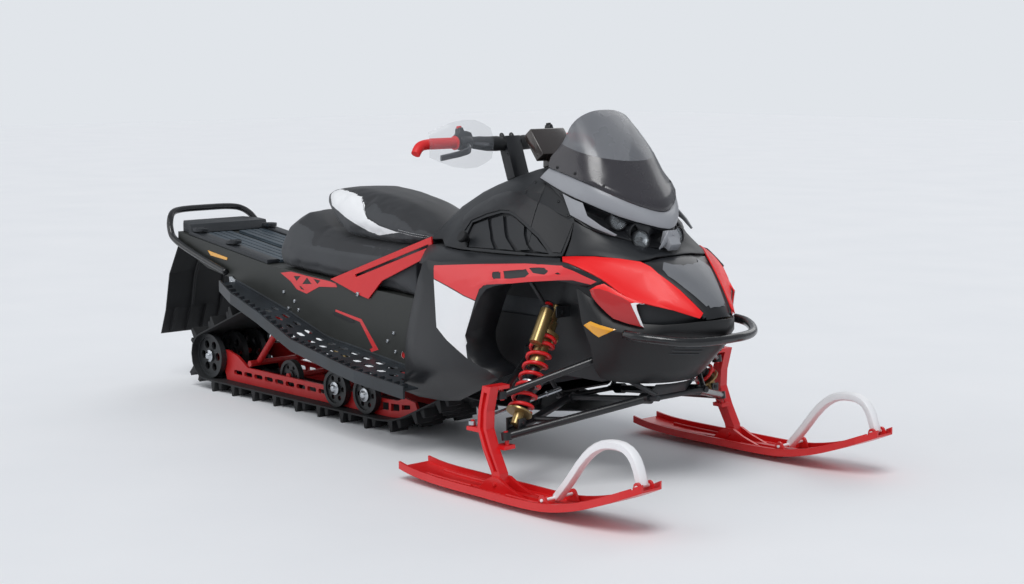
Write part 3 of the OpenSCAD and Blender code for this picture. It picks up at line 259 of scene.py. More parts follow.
    # Soft grip rubber
    moulded("grip_rubber", "131416", "26282b", 0.62, 1.0, 0.05, cloud=0.2)
    moulded("red_grip_rubber", "e01a1e", "f0403c", 0.5, 1.0, 0.05, cloud=0.15)
    # Closed-cell foam of the bar pad: matt, fine pores
    moulded("bar_pad_foam", "17181a", "292b2e", 0.68, 0.9, 0.06, cloud=0.25)
    # Grey anodised lever blades
    moulded("lever_grey", "4a4d50", "85898d", 0.34, 1.4, 0.01, metallic=0.6, cloud=0.25)
    # Black glass of the gauge's screen
    moulded("gauge_glass", "0c0d10", "16181c", 0.1, 5.0, 0.002, coat=1.0, cloud=0.1, wear=0.2)
    # Dark brown-black smoked face of the gauge
    moulded("gauge_smoke", "2b2320", "413632", 0.22, 2.0, 0.01, coat=0.6, cloud=0.2)
    # Amber reflector: clear-coated acrylic over prisms
    moulded("amber_acrylic", "f0a824", "ffc658", 0.2, 4.0, 0.02, coat=1.0, cloud=0.3, wear=0.4)
    # Grey wishbone and tube paint
    moulded("arm_paint", "18191b", "303337", 0.32, 2.6, 0.015, coat=0.2, cloud=0.2)
    seat_vinyl("seat_vinyl_side", "2a2c30", "393c40", 0.48)
    seat_vinyl("seat_vinyl_top", "1b1c1f", "282a2e", 0.55)
    seat_vinyl("seat_vinyl_white", "e9eaec", "f7f8f9", 0.42)
    clear_plastic("smoke_screen", "6e7075", 0.28, 0.78, 0.12)
    clear_plastic("smoke_screen_band", "37353a", 0.24, 0.86, 0.2)
    clear_plastic("clear_guard", "a9aeb4", 0.12, 0.12)
    clear_plastic("lamp_cover", "b4babf", 0.04, 0.14)
    lamp_reflector()


def seat_vinyl(name, colour, light, roughness):
    """Coated seat fabric: embossed leather-like grain 1.6 mm across, with a faint sheen."""
    made, tree = new_material(name)
    place = add(tree, "ShaderNodeTexCoord").outputs["Object"]
    cells = add(
        tree,
        "ShaderNodeTexVoronoi",
        {"Vector": place, "Scale": 1 / (2.4 * MM), "Randomness": 0.9},
        feature="DISTANCE_TO_EDGE",
    )
    cloud = add(
        tree,
        "ShaderNodeTexNoise",
        {"Vector": place, "Scale": 1 / (110 * MM), "Detail": 4.0, "Roughness": 0.6},
    )
    base = add(
        tree,
        "ShaderNodeMix",
        {"Factor": cloud.outputs["Fac"], 6: linear(colour), 7: linear(light)},
        data_type="RGBA",
    )
    bump = add(
        tree,
        "ShaderNodeBump",
        {"Height": cells.outputs["Distance"], "Distance": 0.12 * MM, "Strength": 0.8},
    )
    shader = add(
        tree,
        "ShaderNodeBsdfPrincipled",
        {
            "Base Color": base.outputs[2],
            "Roughness": roughness,
            "Normal": bump.outputs["Normal"],
            "Sheen Weight": 0.12,
            "Sheen Roughness": 0.5,
            "IOR": 1.47,
        },
    )
    close_material(tree, shader)
    return made


def clear_plastic(name, colour, roughness, cover, coat=0.4):
    """Tinted polycarbonate sheet: gloss over a tint that lets part of the light through."""
    made, tree = new_material(name)
    place = add(tree, "ShaderNodeTexCoord").outputs["Object"]
    haze = add(
        tree,
        "ShaderNodeTexNoise",
        {"Vector": place, "Scale": 1 / (90 * MM), "Detail": 3.0, "Roughness": 0.5},
    )
    rough = add(
        tree,
        "ShaderNodeMapRange",
        {
            "Value": haze.outputs["Fac"],
            "From Min": 0.3,
            "From Max": 0.7,
            "To Min": roughness * 0.7,
            "To Max": roughness * 1.3,
        },
    )
    shader = add(
        tree,
        "ShaderNodeBsdfPrincipled",
        {
            "Base Color": linear(colour),
            "Roughness": rough.outputs["Result"],
            "IOR": 1.58,
            "Alpha": cover,
            "Coat Weight": coat,
            "Coat Roughness": 0.04,
        },
    )
    close_material(tree, shader)
    return made


def lamp_reflector():
    """Vacuum-metallised bowl of a headlamp: bright metal in fine ribs 4 mm apart."""
    made, tree = new_material("lamp_reflector")
    place = add(tree, "ShaderNodeTexCoord").outputs["Object"]
    ribs = add(
        tree,
        "ShaderNodeTexWave",
        {"Vector": place, "Scale": 0.5 / (4 * MM), "Distortion": 0.0},
        bands_direction="Z",
    )
    bump = add(
        tree,
        "ShaderNodeBump",
        {"Height": ribs.outputs["Fac"], "Distance": 0.6 * MM, "Strength": 0.7},
    )
    shader = add(
        tree,
        "ShaderNodeBsdfPrincipled",
        {
            "Base Color": linear("9a9ea2"),
            "Metallic": 1.0,
            "Roughness": 0.12,
            "Normal": bump.outputs["Normal"],
        },
    )
    close_material(tree, shader)
    return made


def select_only(piece):
    """Makes one piece the selected and active one."""
    if bpy.context.object and bpy.context.object.mode != "OBJECT":
        bpy.ops.object.mode_set(mode="OBJECT")
    bpy.ops.object.select_all(action="DESELECT")
    piece.select_set(True)
    bpy.context.view_layer.objects.active = piece


def edit(piece, mode="FACE"):
    """Opens a piece for editing with nothing selected."""
    select_only(piece)
    bpy.ops.object.mode_set(mode="EDIT")
    bpy.ops.mesh.select_mode(type=mode)
    bpy.ops.mesh.select_all(action="DESELECT")
    return bmesh.from_edit_mesh(piece.data)


def leave(piece):
    """Closes the edit of a piece."""
    bpy.ops.object.mode_set(mode="OBJECT")
    return piece


def pick(piece, test, what="faces"):
    """In edit mode, selects just the faces, edges or vertices for which test is true."""
    mesh = bmesh.from_edit_mesh(piece.data)
    bpy.ops.mesh.select_all(action="DESELECT")
    count = 0
    for part in getattr(mesh, what):
        if test(part):
            part.select_set(True)
            count += 1
    mesh.select_flush_mode()
    bmesh.update_edit_mesh(piece.data)
    return count


def modify(piece, kind, **settings):
    """Adds a modifier with its settings and applies it."""
    select_only(piece)
    made = piece.modifiers.new(kind.title(), kind)
    for key, value in settings.items():
        setattr(made, key, value)
    bpy.ops.object.modifier_apply(modifier=made.name)
    return piece


def settle(piece):
    """Puts a piece's place and turn into its mesh."""
    select_only(piece)
    bpy.ops.object.transform_apply(location=True, rotation=True, scale=True)
    return piece


def round_off(piece, degrees=32):
    """Smooth shading with the edges over the given angle kept sharp."""
    select_only(piece)
    bpy.ops.object.shade_smooth_by_angle(angle=math.radians(degrees))
    return piece


def dress(piece, body, finish):
    """Gives a finished piece its material and the body that it moves with."""
    piece.data.materials.clear()
    piece.data.materials.append(MATERIALS[finish])
    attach(piece, body)
    return piece


def joined_copy(node, name):
    """A copy of a CAD node's mesh as a new object, with its loose triangles joined."""
    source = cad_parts[node] if isinstance(node, str) else node
    piece = bpy.data.objects.new(name, source.data.copy())
    bpy.context.scene.collection.objects.link(piece)
    for face in piece.data.polygons:
        face.use_smooth = False
    edit(piece)
    bpy.ops.mesh.select_all(action="SELECT")
    bpy.ops.mesh.remove_doubles(threshold=0.00002)
    leave(piece)
    piece.data.materials.clear()
    return piece


def inside(point, outline):
    """True if a side-view point lies in the outline."""
    x, z = point
    found = False
    for i, (ax, az) in enumerate(outline):
        bx, bz = outline[i - 1]
        if (az > z) != (bz > z) and x < (bx - ax) * (z - az) / (bz - az) + ax:
            found = not found
    return found


def film(source, name, outline, side, lift_mm, thick_mm, facing=0.12, holes=()):
    """A thin film cut from the skin of a piece, inside a side-view outline in millimetres.

    side is RIGHT or LEFT, the side of the machine whose skin it lies on. holes are outlines
    in the film that are left open.
    """
    piece = joined_copy(source, name)
    rings = [[(x * MM, z * MM) for x, z in ring] for ring in (outline, *holes)]
    low_x = min(p[0] for p in rings[0])
    high_x = max(p[0] for p in rings[0])
    low_z = min(p[1] for p in rings[0])
    high_z = max(p[1] for p in rings[0])
    edit(piece)
    pick(
        piece,
        lambda f: f.normal.y * side < facing
        or max(v.co.x for v in f.verts) < low_x
        or min(v.co.x for v in f.verts) > high_x
        or max(v.co.z for v in f.verts) < low_z
        or min(v.co.z for v in f.verts) > high_z
        or f.calc_center_median().y * side < 0,
    )
    bpy.ops.mesh.delete(type="FACE")
    for ring in rings:
        for i, (ax, az) in enumerate(ring):
            bx, bz = ring[i - 1]
            bpy.ops.mesh.select_all(action="SELECT")
            bpy.ops.mesh.bisect(plane_co=(ax, 0, az), plane_no=(bz - az, 0, ax - bx))
    pick(piece, lambda f: sum(inside(side_view(f), ring) for ring in rings) != 1)
    bpy.ops.mesh.delete(type="FACE")
    bpy.ops.mesh.select_all(action="SELECT")
    bpy.ops.mesh.remove_doubles(threshold=0.00002)
    bpy.ops.transform.shrink_fatten(value=lift_mm * MM)
    leave(piece)
    modify(piece, "SOLIDIFY", thickness=thick_mm * MM, offset=1.0)
    return round_off(piece, 40)


def top_film(source, name, outline, lift_mm, thick_mm, facing=0.1):
    """A thin film cut from the upper skin of a piece, inside a plan outline in millimetres."""
    piece = joined_copy(source, name)
    ring = [(x * MM, y * MM) for x, y in outline]
    edit(piece)
    pick(piece, lambda f: f.normal.z < facing)
    bpy.ops.mesh.delete(type="FACE")
    for i, (ax, ay) in enumerate(ring):
        bx, by = ring[i - 1]
        bpy.ops.mesh.select_all(action="SELECT")
        bpy.ops.mesh.bisect(plane_co=(ax, ay, 0), plane_no=(by - ay, ax - bx, 0))
    pick(piece, lambda f: not inside(f.calc_center_median().xy, ring))
    bpy.ops.mesh.delete(type="FACE")
    bpy.ops.mesh.select_all(action="SELECT")
    bpy.ops.mesh.remove_doubles(threshold=0.00002)
    bpy.ops.transform.shrink_fatten(value=lift_mm * MM)
    leave(piece)
    modify(piece, "SOLIDIFY", thickness=thick_mm * MM, offset=1.0)
    return round_off(piece, 40)


def part_copy(node, name, keep, degrees=35):
    """A copy of those loose solids of a CAD node whose faces' middles pass a test."""
    piece = joined_copy(node, name)
    edit(piece)
    pick(piece, lambda f: not keep(f.calc_center_median()))
    bpy.ops.mesh.delete(type="FACE")
    leave(piece)
    modify(piece, "BEVEL", width=1 * MM, segments=2, limit_method="ANGLE", angle_limit=math.radians(50))
    return round_off(piece, degrees)


def side_view(face):
    """The middle of a face in side view."""
    middle = face.calc_center_median()
    return middle.x, middle.z


def shell_copy(node, name, finish, body="chassis", degrees=35, bevel_mm=1.0, shape=None):
    """A body shell with joined, rounded and smoothly shaded skin, in place of the CAD one."""
    piece = joined_copy(node, name)
    if shape:
        shape(piece)
    modify(
        piece,
        "BEVEL",
        width=bevel_mm * MM,
        segments=2,
        limit_method="ANGLE",
        angle_limit=math.radians(50),
    )
    round_off(piece, degrees)
    dress(piece, body, finish)
    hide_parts(node)
    return piece


def round_tube(node, name, finish, body="chassis", levels=2):
    """A bent tube whose CAD solid has ten sides, made round in section."""
    piece = joined_copy(node, name)
    edit(piece, "EDGE")
    pick(piece, lambda e: e.calc_face_angle(0) > math.radians(60), "edges")
    bpy.ops.transform.edge_crease(value=1.0)
    leave(piece)
    modify(piece, "SUBSURF", levels=levels, render_levels=levels)
    round_off(piece, 50)
    dress(piece, body, finish)
    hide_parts(node)
    return piece


def tube(name, points, radius_mm, finish, body="chassis", half_mm=0.0, taper=()):
    """A bent round tube along points in millimetres, or a flat rounded strip if half_mm is given.

    taper gives the relative thickness at each point.
    """
    curve = bpy.data.curves.new(name, "CURVE")
    curve.dimensions = "3D"
    curve.bevel_depth = radius_mm * MM
    curve.extrude = half_mm * MM
    curve.bevel_resolution = 4
    curve.resolution_u = 6
    curve.use_fill_caps = True
    spline = curve.splines.new("BEZIER")
    spline.bezier_points.add(len(points) - 1)
    for i, (spot, place) in enumerate(zip(spline.bezier_points, points)):
        spot.co = Vector(place) * MM
        spot.handle_left_type = "AUTO"
        spot.handle_right_type = "AUTO"
        spot.radius = taper[i] if taper else 1.0
    made = bpy.data.objects.new(name, curve)
    bpy.context.scene.collection.objects.link(made)
    select_only(made)
    bpy.ops.object.convert(target="MESH")
    made = bpy.context.object
    round_off(made, 50)
    return dress(made, body, finish)


def plate(name, outline, origin, across, up, thick_mm, finish, body="chassis", bevel_mm=1.0):
    """A flat plate with rounded rims: its outline in millimetres, in the plane of across and up."""
    curve = bpy.data.curves.new(name, "CURVE")
    curve.dimensions = "2D"
    curve.fill_mode = "BOTH"
    curve.extrude = max(0.05, thick_mm / 2 - bevel_mm) * MM
    curve.bevel_depth = bevel_mm * MM
    curve.bevel_resolution = 2
    spline = curve.splines.new("POLY")
    spline.points.add(len(outline) - 1)
    for spot, (x, y) in zip(spline.points, outline):
        spot.co = (x * MM, y * MM, 0, 1)
    spline.use_cyclic_u = True
    made = bpy.data.objects.new(name, curve)
    bpy.context.scene.collection.objects.link(made)
    select_only(made)
    bpy.ops.object.convert(target="MESH")
    made = bpy.context.object
    across = Vector(across).normalized()
    up = Vector(up).normalized()
    turn = Matrix((across, up, across.cross(up))).transposed().to_4x4()
    turn.translation = Vector(origin) * MM
    made.data.transform(turn)
    edit(made)
    bpy.ops.mesh.select_all(action="SELECT")
    bpy.ops.mesh.remove_doubles(threshold=0.00001)
    bpy.ops.mesh.normals_make_consistent(inside=False)
    leave(made)
    round_off(made, 40)
    return dress(made, body, finish)


def round_part(name, place, way, profile, finish, body="chassis", sides=32):
    """A turned part: a cylinder drawn out ring by ring.

    profile lists (distance along way, radius) in millimetres, from the first end to the last.
    """
    bpy.ops.object.select_all(action="DESELECT")
    bpy.ops.mesh.primitive_circle_add(vertices=sides, radius=profile[0][1] * MM, fill_type="NGON")
    made = bpy.context.object
    made.name = name
    edit(made)
    bpy.ops.mesh.select_all(action="SELECT")
    bpy.ops.transform.translate(value=(0, 0, profile[0][0] * MM))
    for (at, radius), (far, wide) in zip(profile, profile[1:]):
        bpy.ops.mesh.extrude_region_move(TRANSFORM_OT_translate={"value": (0, 0, (far - at) * MM)})
        grow = wide / radius
        bpy.ops.transform.resize(value=(grow, grow, 1), center_override=(0, 0, far * MM))
    bpy.ops.mesh.select_all(action="SELECT")
    bpy.ops.mesh.normals_make_consistent(inside=False)
    leave(made)
    turn = Vector(way).to_track_quat("Z", "X").to_matrix().to_4x4()
    turn.translation = Vector(place) * MM
    made.data.transform(turn)
    round_off(made, 40)
    return dress(made, body, finish)


def copies(name, one, places, body, finish):
    """One mesh made of copies of a small piece, each moved by its own matrix; the first goes."""
    mesh = bmesh.new()
    for turn in places:
        part = one.data.copy()
        part.transform(turn)
        mesh.from_mesh(part)
        bpy.data.meshes.remove(part)
    made = bpy.data.objects.new(name, bpy.data.meshes.new(name))
    bpy.context.scene.collection.objects.link(made)
    mesh.to_mesh(made.data)
    mesh.free()
    bpy.data.objects.remove(one)
    round_off(made, 40)
    return dress(made, body, finish)


def bolts(name, spots, radius_mm, body="chassis", finish="bright_steel"):
    """Button-head bolts with a hexagon socket; each spot is a place in millimetres and its way out."""
    r = radius_mm
    one = round_part(
        name + "_one",
        (0, 0, 0),
        (0, 0, 1),
        [(-0.5 * r, r), (0.25 * r, r), (0.5 * r, 0.86 * r), (0.62 * r, 0.5 * r), (0.3 * r, 0.46 * r)],
        finish,
        body,
        sides=18,
    )
    turns = []
    for place, way in spots:
        turn = Vector(way).to_track_quat("Z", "X").to_matrix().to_4x4()
        turn.translation = Vector(place) * MM
        turns.append(turn)
    return copies(name, one, turns, body, finish)


def meet(source, start, way, lift_mm=0.0):
    """The place in millimetres and the outward way where a ray from start meets a piece's skin."""
    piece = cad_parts[source] if isinstance(source, str) else source
    if piece.name not in SKINS:
        corners = [v.co for v in piece.data.vertices]
        SKINS[piece.name] = BVHTree.FromPolygons(corners, [f.vertices for f in piece.data.polygons])
    way = Vector(way).normalized()
    place, normal, _, _ = SKINS[piece.name].ray_cast(Vector(start) * MM, way)
    if place is None:
        raise RuntimeError(f"no skin of {piece.name} from {start} along {way}")
    if normal.dot(way) > 0:
        normal = -normal
    return (place + normal * lift_mm * MM) / MM, normal


def on_skin(source, x, z, side, lift_mm=0.0):
    """The place in millimetres and the outward way where a side-view point meets a piece's skin."""
    return meet(source, (x, side * 900, z), (0, -side, 0), lift_mm)


def laid(name, source, starts, way, radius_mm, finish, body="chassis", half_mm=0.0, lift_mm=0.0, taper=()):
    """A rib or strip laid on a piece's skin, below the given starts as seen along way."""
    points = [meet(source, start, way, lift_mm)[0] for start in starts]
    return tube(name, points, radius_mm, finish, body, half_mm, taper)


def cut_lines(piece, outline, side, reach_mm=0.0):
    """Cuts the faces of one side of a piece along a side-view outline in millimetres."""
    ring = [(x * MM, z * MM) for x, z in outline]
    low_x = min(p[0] for p in ring)
    high_x = max(p[0] for p in ring)
    low_z = min(p[1] for p in ring)
    high_z = max(p[1] for p in ring)
    edit(piece)
    for i, (ax, az) in enumerate(ring):
        bx, bz = ring[i - 1]
        pick(
            piece,
            lambda f: f.calc_center_median().y * side > reach_mm * MM
            and max(v.co.x for v in f.verts) > low_x
            and min(v.co.x for v in f.verts) < high_x
            and max(v.co.z for v in f.verts) > low_z
            and min(v.co.z for v in f.verts) < high_z,
        )
        bpy.ops.mesh.bisect(plane_co=(ax, 0, az), plane_no=(bz - az, 0, ax - bx))
    return ring


def recess(piece, outline, side, depth_mm, reach_mm=60.0):
    """Sinks the part of a piece's skin that lies in a side-view outline, with walls round it."""
    ring = cut_lines(piece, outline, side, reach_mm)
    pick(piece, lambda f: f.calc_center_median().y * side > reach_mm * MM and inside(side_view(f), ring))
    bpy.ops.mesh.extrude_region_move(TRANSFORM_OT_translate={"value": (0, -side * depth_mm * MM, 0)})
    return leave(piece)


def reshape(piece, move):
    """Moves each vertex of a piece by what move gives for its place in millimetres."""
    for vertex in piece.data.vertices:
        vertex.co += Vector(move(*(vertex.co / MM))) * MM
    return piece


def ramp(value, low, high):
    """0 at low, 1 at high and between them in proportion."""
    return min(1.0, max(0.0, (value - low) / (high - low)))


class SnowmobileSizes(bpy.types.PropertyGroup):
    """Sizes and colours that a user would change."""

    film: bpy.props.FloatProperty(
        name="Film thickness",
        description="Thickness of the printed vinyl films",
        default=0.0006,
        unit="LENGTH",
    )
    swell: bpy.props.FloatProperty(
        name="Seat swell",
        description="How far the foam pushes the seat cover out",
        default=0.008,
        unit="LENGTH",
    )
    grain: bpy.props.FloatProperty(
        name="Remesh size",
        description="Size of the mesh on the padded seats",
        default=0.007,
        unit="LENGTH",
    )
    floor_colour: bpy.props.FloatVectorProperty(
        name="Floor colour",
        description="Colour of the pale studio floor",
        subtype="COLOR",
        size=3,
        min=0.0,
        max=1.0,
        default=linear("e9ebee")[:3],
    )


class SNOWMOBILE_OT_finishes(bpy.types.Operator):
    """Makes the materials and gives each CAD node that stays its own"""

    bl_idname = "snowmobile.finishes"
    bl_label = "Finishes"

    def execute(self, context):
        make_materials()
        finishes = {
            "tunnel": "tunnel_powder_coat",
            "running_boards": "board_powder_coat",
            "snow_flap": "flap_rubber",
            "seat_braces": "red_powder_coat",
            "fuel_tank": "textured_shell",
            "front_frame": "frame_paint",
            "engine_block": "cast_aluminium",
            "lower_arms": "arm_paint",
            "upper_arms": "arm_paint",
            "shocks": "gold_anodised",
            "slide_rails": "rail_red_coat",
            "skid_arms": "rail_red_coat",
            "idler_wheels": "wheel_nylon",
            "drive_axle": "wheel_nylon",
            "track": "track_rubber",
            "spindle_right": "red_powder_coat",
            "spindle_left": "red_powder_coat",
            "tie_rod_right": "bright_steel",
            "tie_rod_left": "bright_steel",
            "ski_right": "ski_polyethylene",
            "ski_left": "ski_polyethylene",
        }
        for node, finish in finishes.items():
            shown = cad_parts[node]
            shown.data.materials.clear()
            shown.data.materials.append(MATERIALS[finish])
        return {"FINISHED"}


RECESS = [(476, 740), (457, 757), (462, 797), (483, 803), (538, 822), (600, 837), (650, 839), (690, 831),
          (744, 809), (798, 788), (839, 766), (876, 743), (893, 729), (700, 724), (480, 719)]


def shape_console(piece):
    """Closes the seam to the cowl and sinks the vented recess on each side."""
    reshape(piece, lambda x, y, z: (4.0 * ramp(x, 740, 772) * ramp(abs(y), 190, 230), 0, 0))
    for side in (RIGHT, LEFT):
        recess(piece, RECESS, side, 16, 150)


def shape_hood(piece):
    """Lowers the rim below the headlamps, and sinks the recess's front end in the cowls."""

    def drop(x, y, z):
        amount = 28 * ramp(x, 1052, 1112) * ramp(z, 732, 766) * (1 - 0.35 * ramp(abs(y), 0, 75))
        return (0, 0, -amount * (1 - ramp(abs(y), 75, 150)))

    reshape(piece, drop)
    for side in (RIGHT, LEFT):
        recess(piece, RECESS, side, 16, 150)


def shape_bay(piece):
    """Lowers the front of the lamp bay with the rim that it meets, and its lower housings."""

    def drop(x, y, z):
        if 1060 < x < 1092 and 50 < abs(y) < 86 and 800 < z < 826:
            return (12, 0, -21)
        amount = 27 * ramp(x, 1040, 1100) * ramp(z, 800, 776) * (1 - 0.35 * ramp(abs(y), 0, 75))
        return (0, 0, -amount * (1 - ramp(abs(y), 75, 150)))

    reshape(piece, drop)


def shape_post(piece):
    """Brings the upper end of the bar riser forward, as its clamp block stands proud."""
    reshape(piece, lambda x, y, z: (13 * ramp(z, 950, 990) * ramp(x, 420, 455), 0, 0))


def shape_fascia(piece):
    """Draws the beak below the fascia down to a point between the lower lamps."""

    def beak(x, y, z):
        if abs(y) > 23 or x < 1110 or z > 803:
            return (0, 0, 0)
        return (4 * ramp(z, 800, 752), 0, -14 * ramp(z, 800, 776) if x < 1125 else -12 * ramp(z, 800, 752))

    reshape(piece, beak)


def seam_backing(name, side):
    """A dark strip under the gap between the nose panel and the red shell beside it."""
    edge = []
    for x in range(1175, 1350, 15):
        last = None
        for y in range(15, 170, 3):
            try:
                last = meet("nose_panel", (x, side * y, 900), (0, 0, -1))[0]
            except RuntimeError:
                break
        edge.append(last + Vector((0, side * 3, -9)))
    return tube(name, edge, 7, "textured_shell")


def front_shock(side, tag):
    """The coil spring, sleeve, collar and adjuster knob of one front shock absorber."""
    low = Vector((922, side * 452, 226))
    high = Vector((852, side * 222, 540))
    axis = (high - low).normalized()
    out = axis.orthogonal().normalized()
    over = axis.cross(out)
    turns = 8
    last = turns * 10
    wire = []
    for k in range(last + 1):
        angle = math.tau * k / 10
        rise = 43 + 250 * ramp(k, 5, last - 5)
        wire.append(low + axis * rise + out * 34 * math.cos(angle) + over * 34 * math.sin(angle))
    spring = tube("coil_spring_" + tag, wire, 6.2, "red_powder_coat")
    if side == RIGHT:
        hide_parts("front_springs")
    sleeve = [(38, 14), (42, 21), (128, 21), (134, 18), (188, 18), (190, 12)]
    round_part("shock_sleeve_" + tag, low, axis, sleeve, "smooth_black_abs")
    collar = [(126, 22), (128, 25), (138, 25), (140, 22)]
    round_part("shock_collar_" + tag, low, axis, collar, "bracket_aluminium")
    cap = [(-4, 20.5), (-2, 21.5), (5, 21.5), (8, 18)]
    end = Vector((883, side * 282, 555.5))
    round_part("reservoir_cap_" + tag, end, axis, cap, "smooth_black_abs")
    knob = [(7, 11), (9, 13), (19, 13), (22, 10), (23, 5)]
    round_part("adjuster_knob_" + tag, end, axis, knob, "red_powder_coat")


class SNOWMOBILE_OT_shells(bpy.types.Operator):
    """Makes the body shells, the screen and the tubes with rounded edges and smooth skins"""

    bl_idname = "snowmobile.shells"
    bl_label = "Body shells and tubes"

    def execute(self, context):
        shell_copy("console", "console_shell", "textured_shell", shape=shape_console)
        shell_copy("hood", "hood_shell", "textured_shell", shape=shape_hood)
        shell_copy("nose_panel", "nose_shell", "smooth_black_abs")
        face = [(1184, -76), (1204, -100), (1222, -100), (1260, -82), (1326, -46), (1340, -31), (1346, 0),
                (1340, 31), (1326, 46), (1260, 82), (1222, 100), (1204, 100), (1184, 76), (1206, 58), (1216, 30),
                (1218, 0), (1216, -30), (1206, -58)]
        face = top_film("nose_panel", "nose_face", face, 0.4, 1.2, facing=-0.3)
        dress(face, "chassis", "grey_abs")
        for side, tag in ((RIGHT, "right"), (LEFT, "left")):
            seam_backing("nose_seam_" + tag, side)
        shell_copy("headlamps", "lamp_bay", "smooth_black_abs", shape=shape_bay)
        shell_copy("hood_sides", "red_hood_shells", "bright_red_shell", degrees=24)
        shell_copy("windshield_bezel", "fascia_shell", "silver_fascia", shape=shape_fascia)
        shell_copy("lower_nose", "lower_nose_shell", "lower_shell_abs", degrees=28)
        shell_copy("belly_pan", "belly_shell", "textured_shell")
        shell_copy("side_panel_right", "side_shell_right", "smooth_black_abs", degrees=28)
        shell_copy("side_panel_left", "side_shell_left", "smooth_black_abs", degrees=28)
        shell_copy("windshield", "screen_sheet", "smoke_screen", degrees=60)
        shell_copy("hand_guards", "guard_sheets", "clear_guard", "steering", 60, 0.6)
        shell_copy("steering_post", "post_cover", "smooth_black_abs", "steering", shape=shape_post)
        round_tube("rear_grab_bar", "grab_tube", "black_tube_paint")
        round_tube("front_bumper", "bumper_tube", "black_tube_paint")
        round_tube("handlebar", "bar_tube", "black_tube_paint", "steering")
        for side, tag in ((RIGHT, "right"), (LEFT, "left")):
            front_shock(side, tag)
        rails = part_copy("rear_deck", "deck_rails", lambda c: abs(c.y) > 0.137 and c.x > -1.328)
        cap = part_copy("rear_deck", "deck_cap", lambda c: c.x < -1.328)
        panels = part_copy("rear_deck", "deck_panels", lambda c: abs(c.y) < 0.146 and c.x > -1.3)
        dress(rails, "chassis", "deck_rail_plastic")
        dress(cap, "chassis", "deck_rail_plastic")
        dress(panels, "chassis", "exchanger_anodised")
        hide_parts("rear_deck")
        shell_copy("ski_loop_right", "loop_right", "loop_polyethylene", "ski_right", 40, 1.5)
        shell_copy("ski_loop_left", "loop_left", "loop_polyethylene", "ski_left", 40, 1.5)
        return {"FINISHED"}


def seat_pad(node, name, swell, size):
    """A seat of foam in a sewn cover: remeshed, swollen by its foam and smoothed."""
    piece = joined_copy(node, name)
    modify(piece, "REMESH", mode="VOXEL", voxel_size=size)
    edit(piece)
    bpy.ops.mesh.select_all(action="SELECT")
    bpy.ops.transform.shrink_fatten(value=-0.5 * swell)
    leave(piece)
    modify(piece, "SMOOTH", factor=0.5, iterations=5)
    start = [v.co.copy() for v in piece.data.vertices]
    swell_with_cloth(piece)
    for vertex, at in zip(piece.data.vertices, start):
        move = vertex.co - at
        if move.length > swell:
            vertex.co = at + move.normalized() * swell
    modify(piece, "SMOOTH", factor=0.5, iterations=3)
    return round_off(piece, 70)


def swell_with_cloth(piece):
    """Runs the cover as cloth under the foam's pressure, and keeps its shape."""
    scene = bpy.context.scene
    cloth = piece.modifiers.new("Cover", "CLOTH")
    cloth.settings.use_pressure = True
    cloth.settings.uniform_pressure_force = 4.0
    cloth.settings.quality = 4
    cloth.settings.tension_stiffness = 40.0
    cloth.settings.compression_stiffness = 40.0
    cloth.settings.bending_stiffness = 12.0
    cloth.settings.effector_weights.gravity = 0.0
    cloth.collision_settings.use_collision = False
    for frame in range(1, 13):
        scene.frame_set(frame)
    select_only(piece)
    bpy.ops.object.modifier_apply(modifier=cloth.name)
    scene.frame_set(1)


def seam_points(piece, line, side, step=0.006):
    """Points on a seat's skin along a side-view line in millimetres, found from the side."""
    found = []
    for (ax, az), (bx, bz) in zip(line, line[1:]):
        length = math.hypot(bx - ax, bz - az) * MM
        count = max(1, round(length / step))
        for k in range(count):
            t = k / count
            start = Vector(((ax + (bx - ax) * t) * MM, side * 0.6, (az + (bz - az) * t) * MM))
            hit, place, normal, _ = piece.ray_cast(start, Vector((0, -side, 0)))
            if hit:
                found.append((place.copy(), normal.copy()))
    return found


def seam_line(piece, name, line, side, radius_mm, finish, body="chassis"):
    """A sewn seam: a thin welt that follows the seat's skin."""
    points = seam_points(piece, line, side)
    curve = bpy.data.curves.new(name, "CURVE")
    curve.dimensions = "3D"
    curve.bevel_depth = radius_mm * MM
    curve.bevel_resolution = 2
    curve.use_fill_caps = True
    spline = curve.splines.new("POLY")
    spline.points.add(len(points) - 1)
    for spot, (place, normal) in zip(spline.points, points):
        spot.co = (*(place + normal * radius_mm * MM * 0.2), 1)
    made = bpy.data.objects.new(name, curve)
    bpy.context.scene.collection.objects.link(made)
    select_only(made)
    bpy.ops.object.convert(target="MESH")
    made = bpy.context.object
    round_off(made, 60)
    return dress(made, body, finish)


def stitches(piece, name, line, side, finish, length_mm=4.5, gap_mm=3.0, radius_mm=0.7):
    """Thread stitches lying on the seat's skin along a line, one capsule copied."""
    points = seam_points(piece, line, side, (length_mm + gap_mm) * MM)
    bpy.ops.object.select_all(action="DESELECT")
    bpy.ops.mesh.primitive_cylinder_add(vertices=6, radius=radius_mm * MM, depth=length_mm * MM)
    made = bpy.context.object
    made.name = name
    edit(made)
    bpy.ops.mesh.select_all(action="SELECT")
    bpy.ops.mesh.bevel(offset=radius_mm * 0.5 * MM, segments=1, affect="EDGES")
    leave(made)
    one = made.data.copy()
    mesh = bmesh.new()
    for (place, normal), (ahead, _) in zip(points, points[1:]):
        turn = (ahead - place).to_track_quat("Z", "X").to_matrix().to_4x4()
        turn.translation = place + normal * radius_mm * MM * 0.3
        part = one.copy()
        part.transform(turn)
        mesh.from_mesh(part)
        bpy.data.meshes.remove(part)
    mesh.to_mesh(made.data)
    mesh.free()
    return dress(made, "chassis", finish)


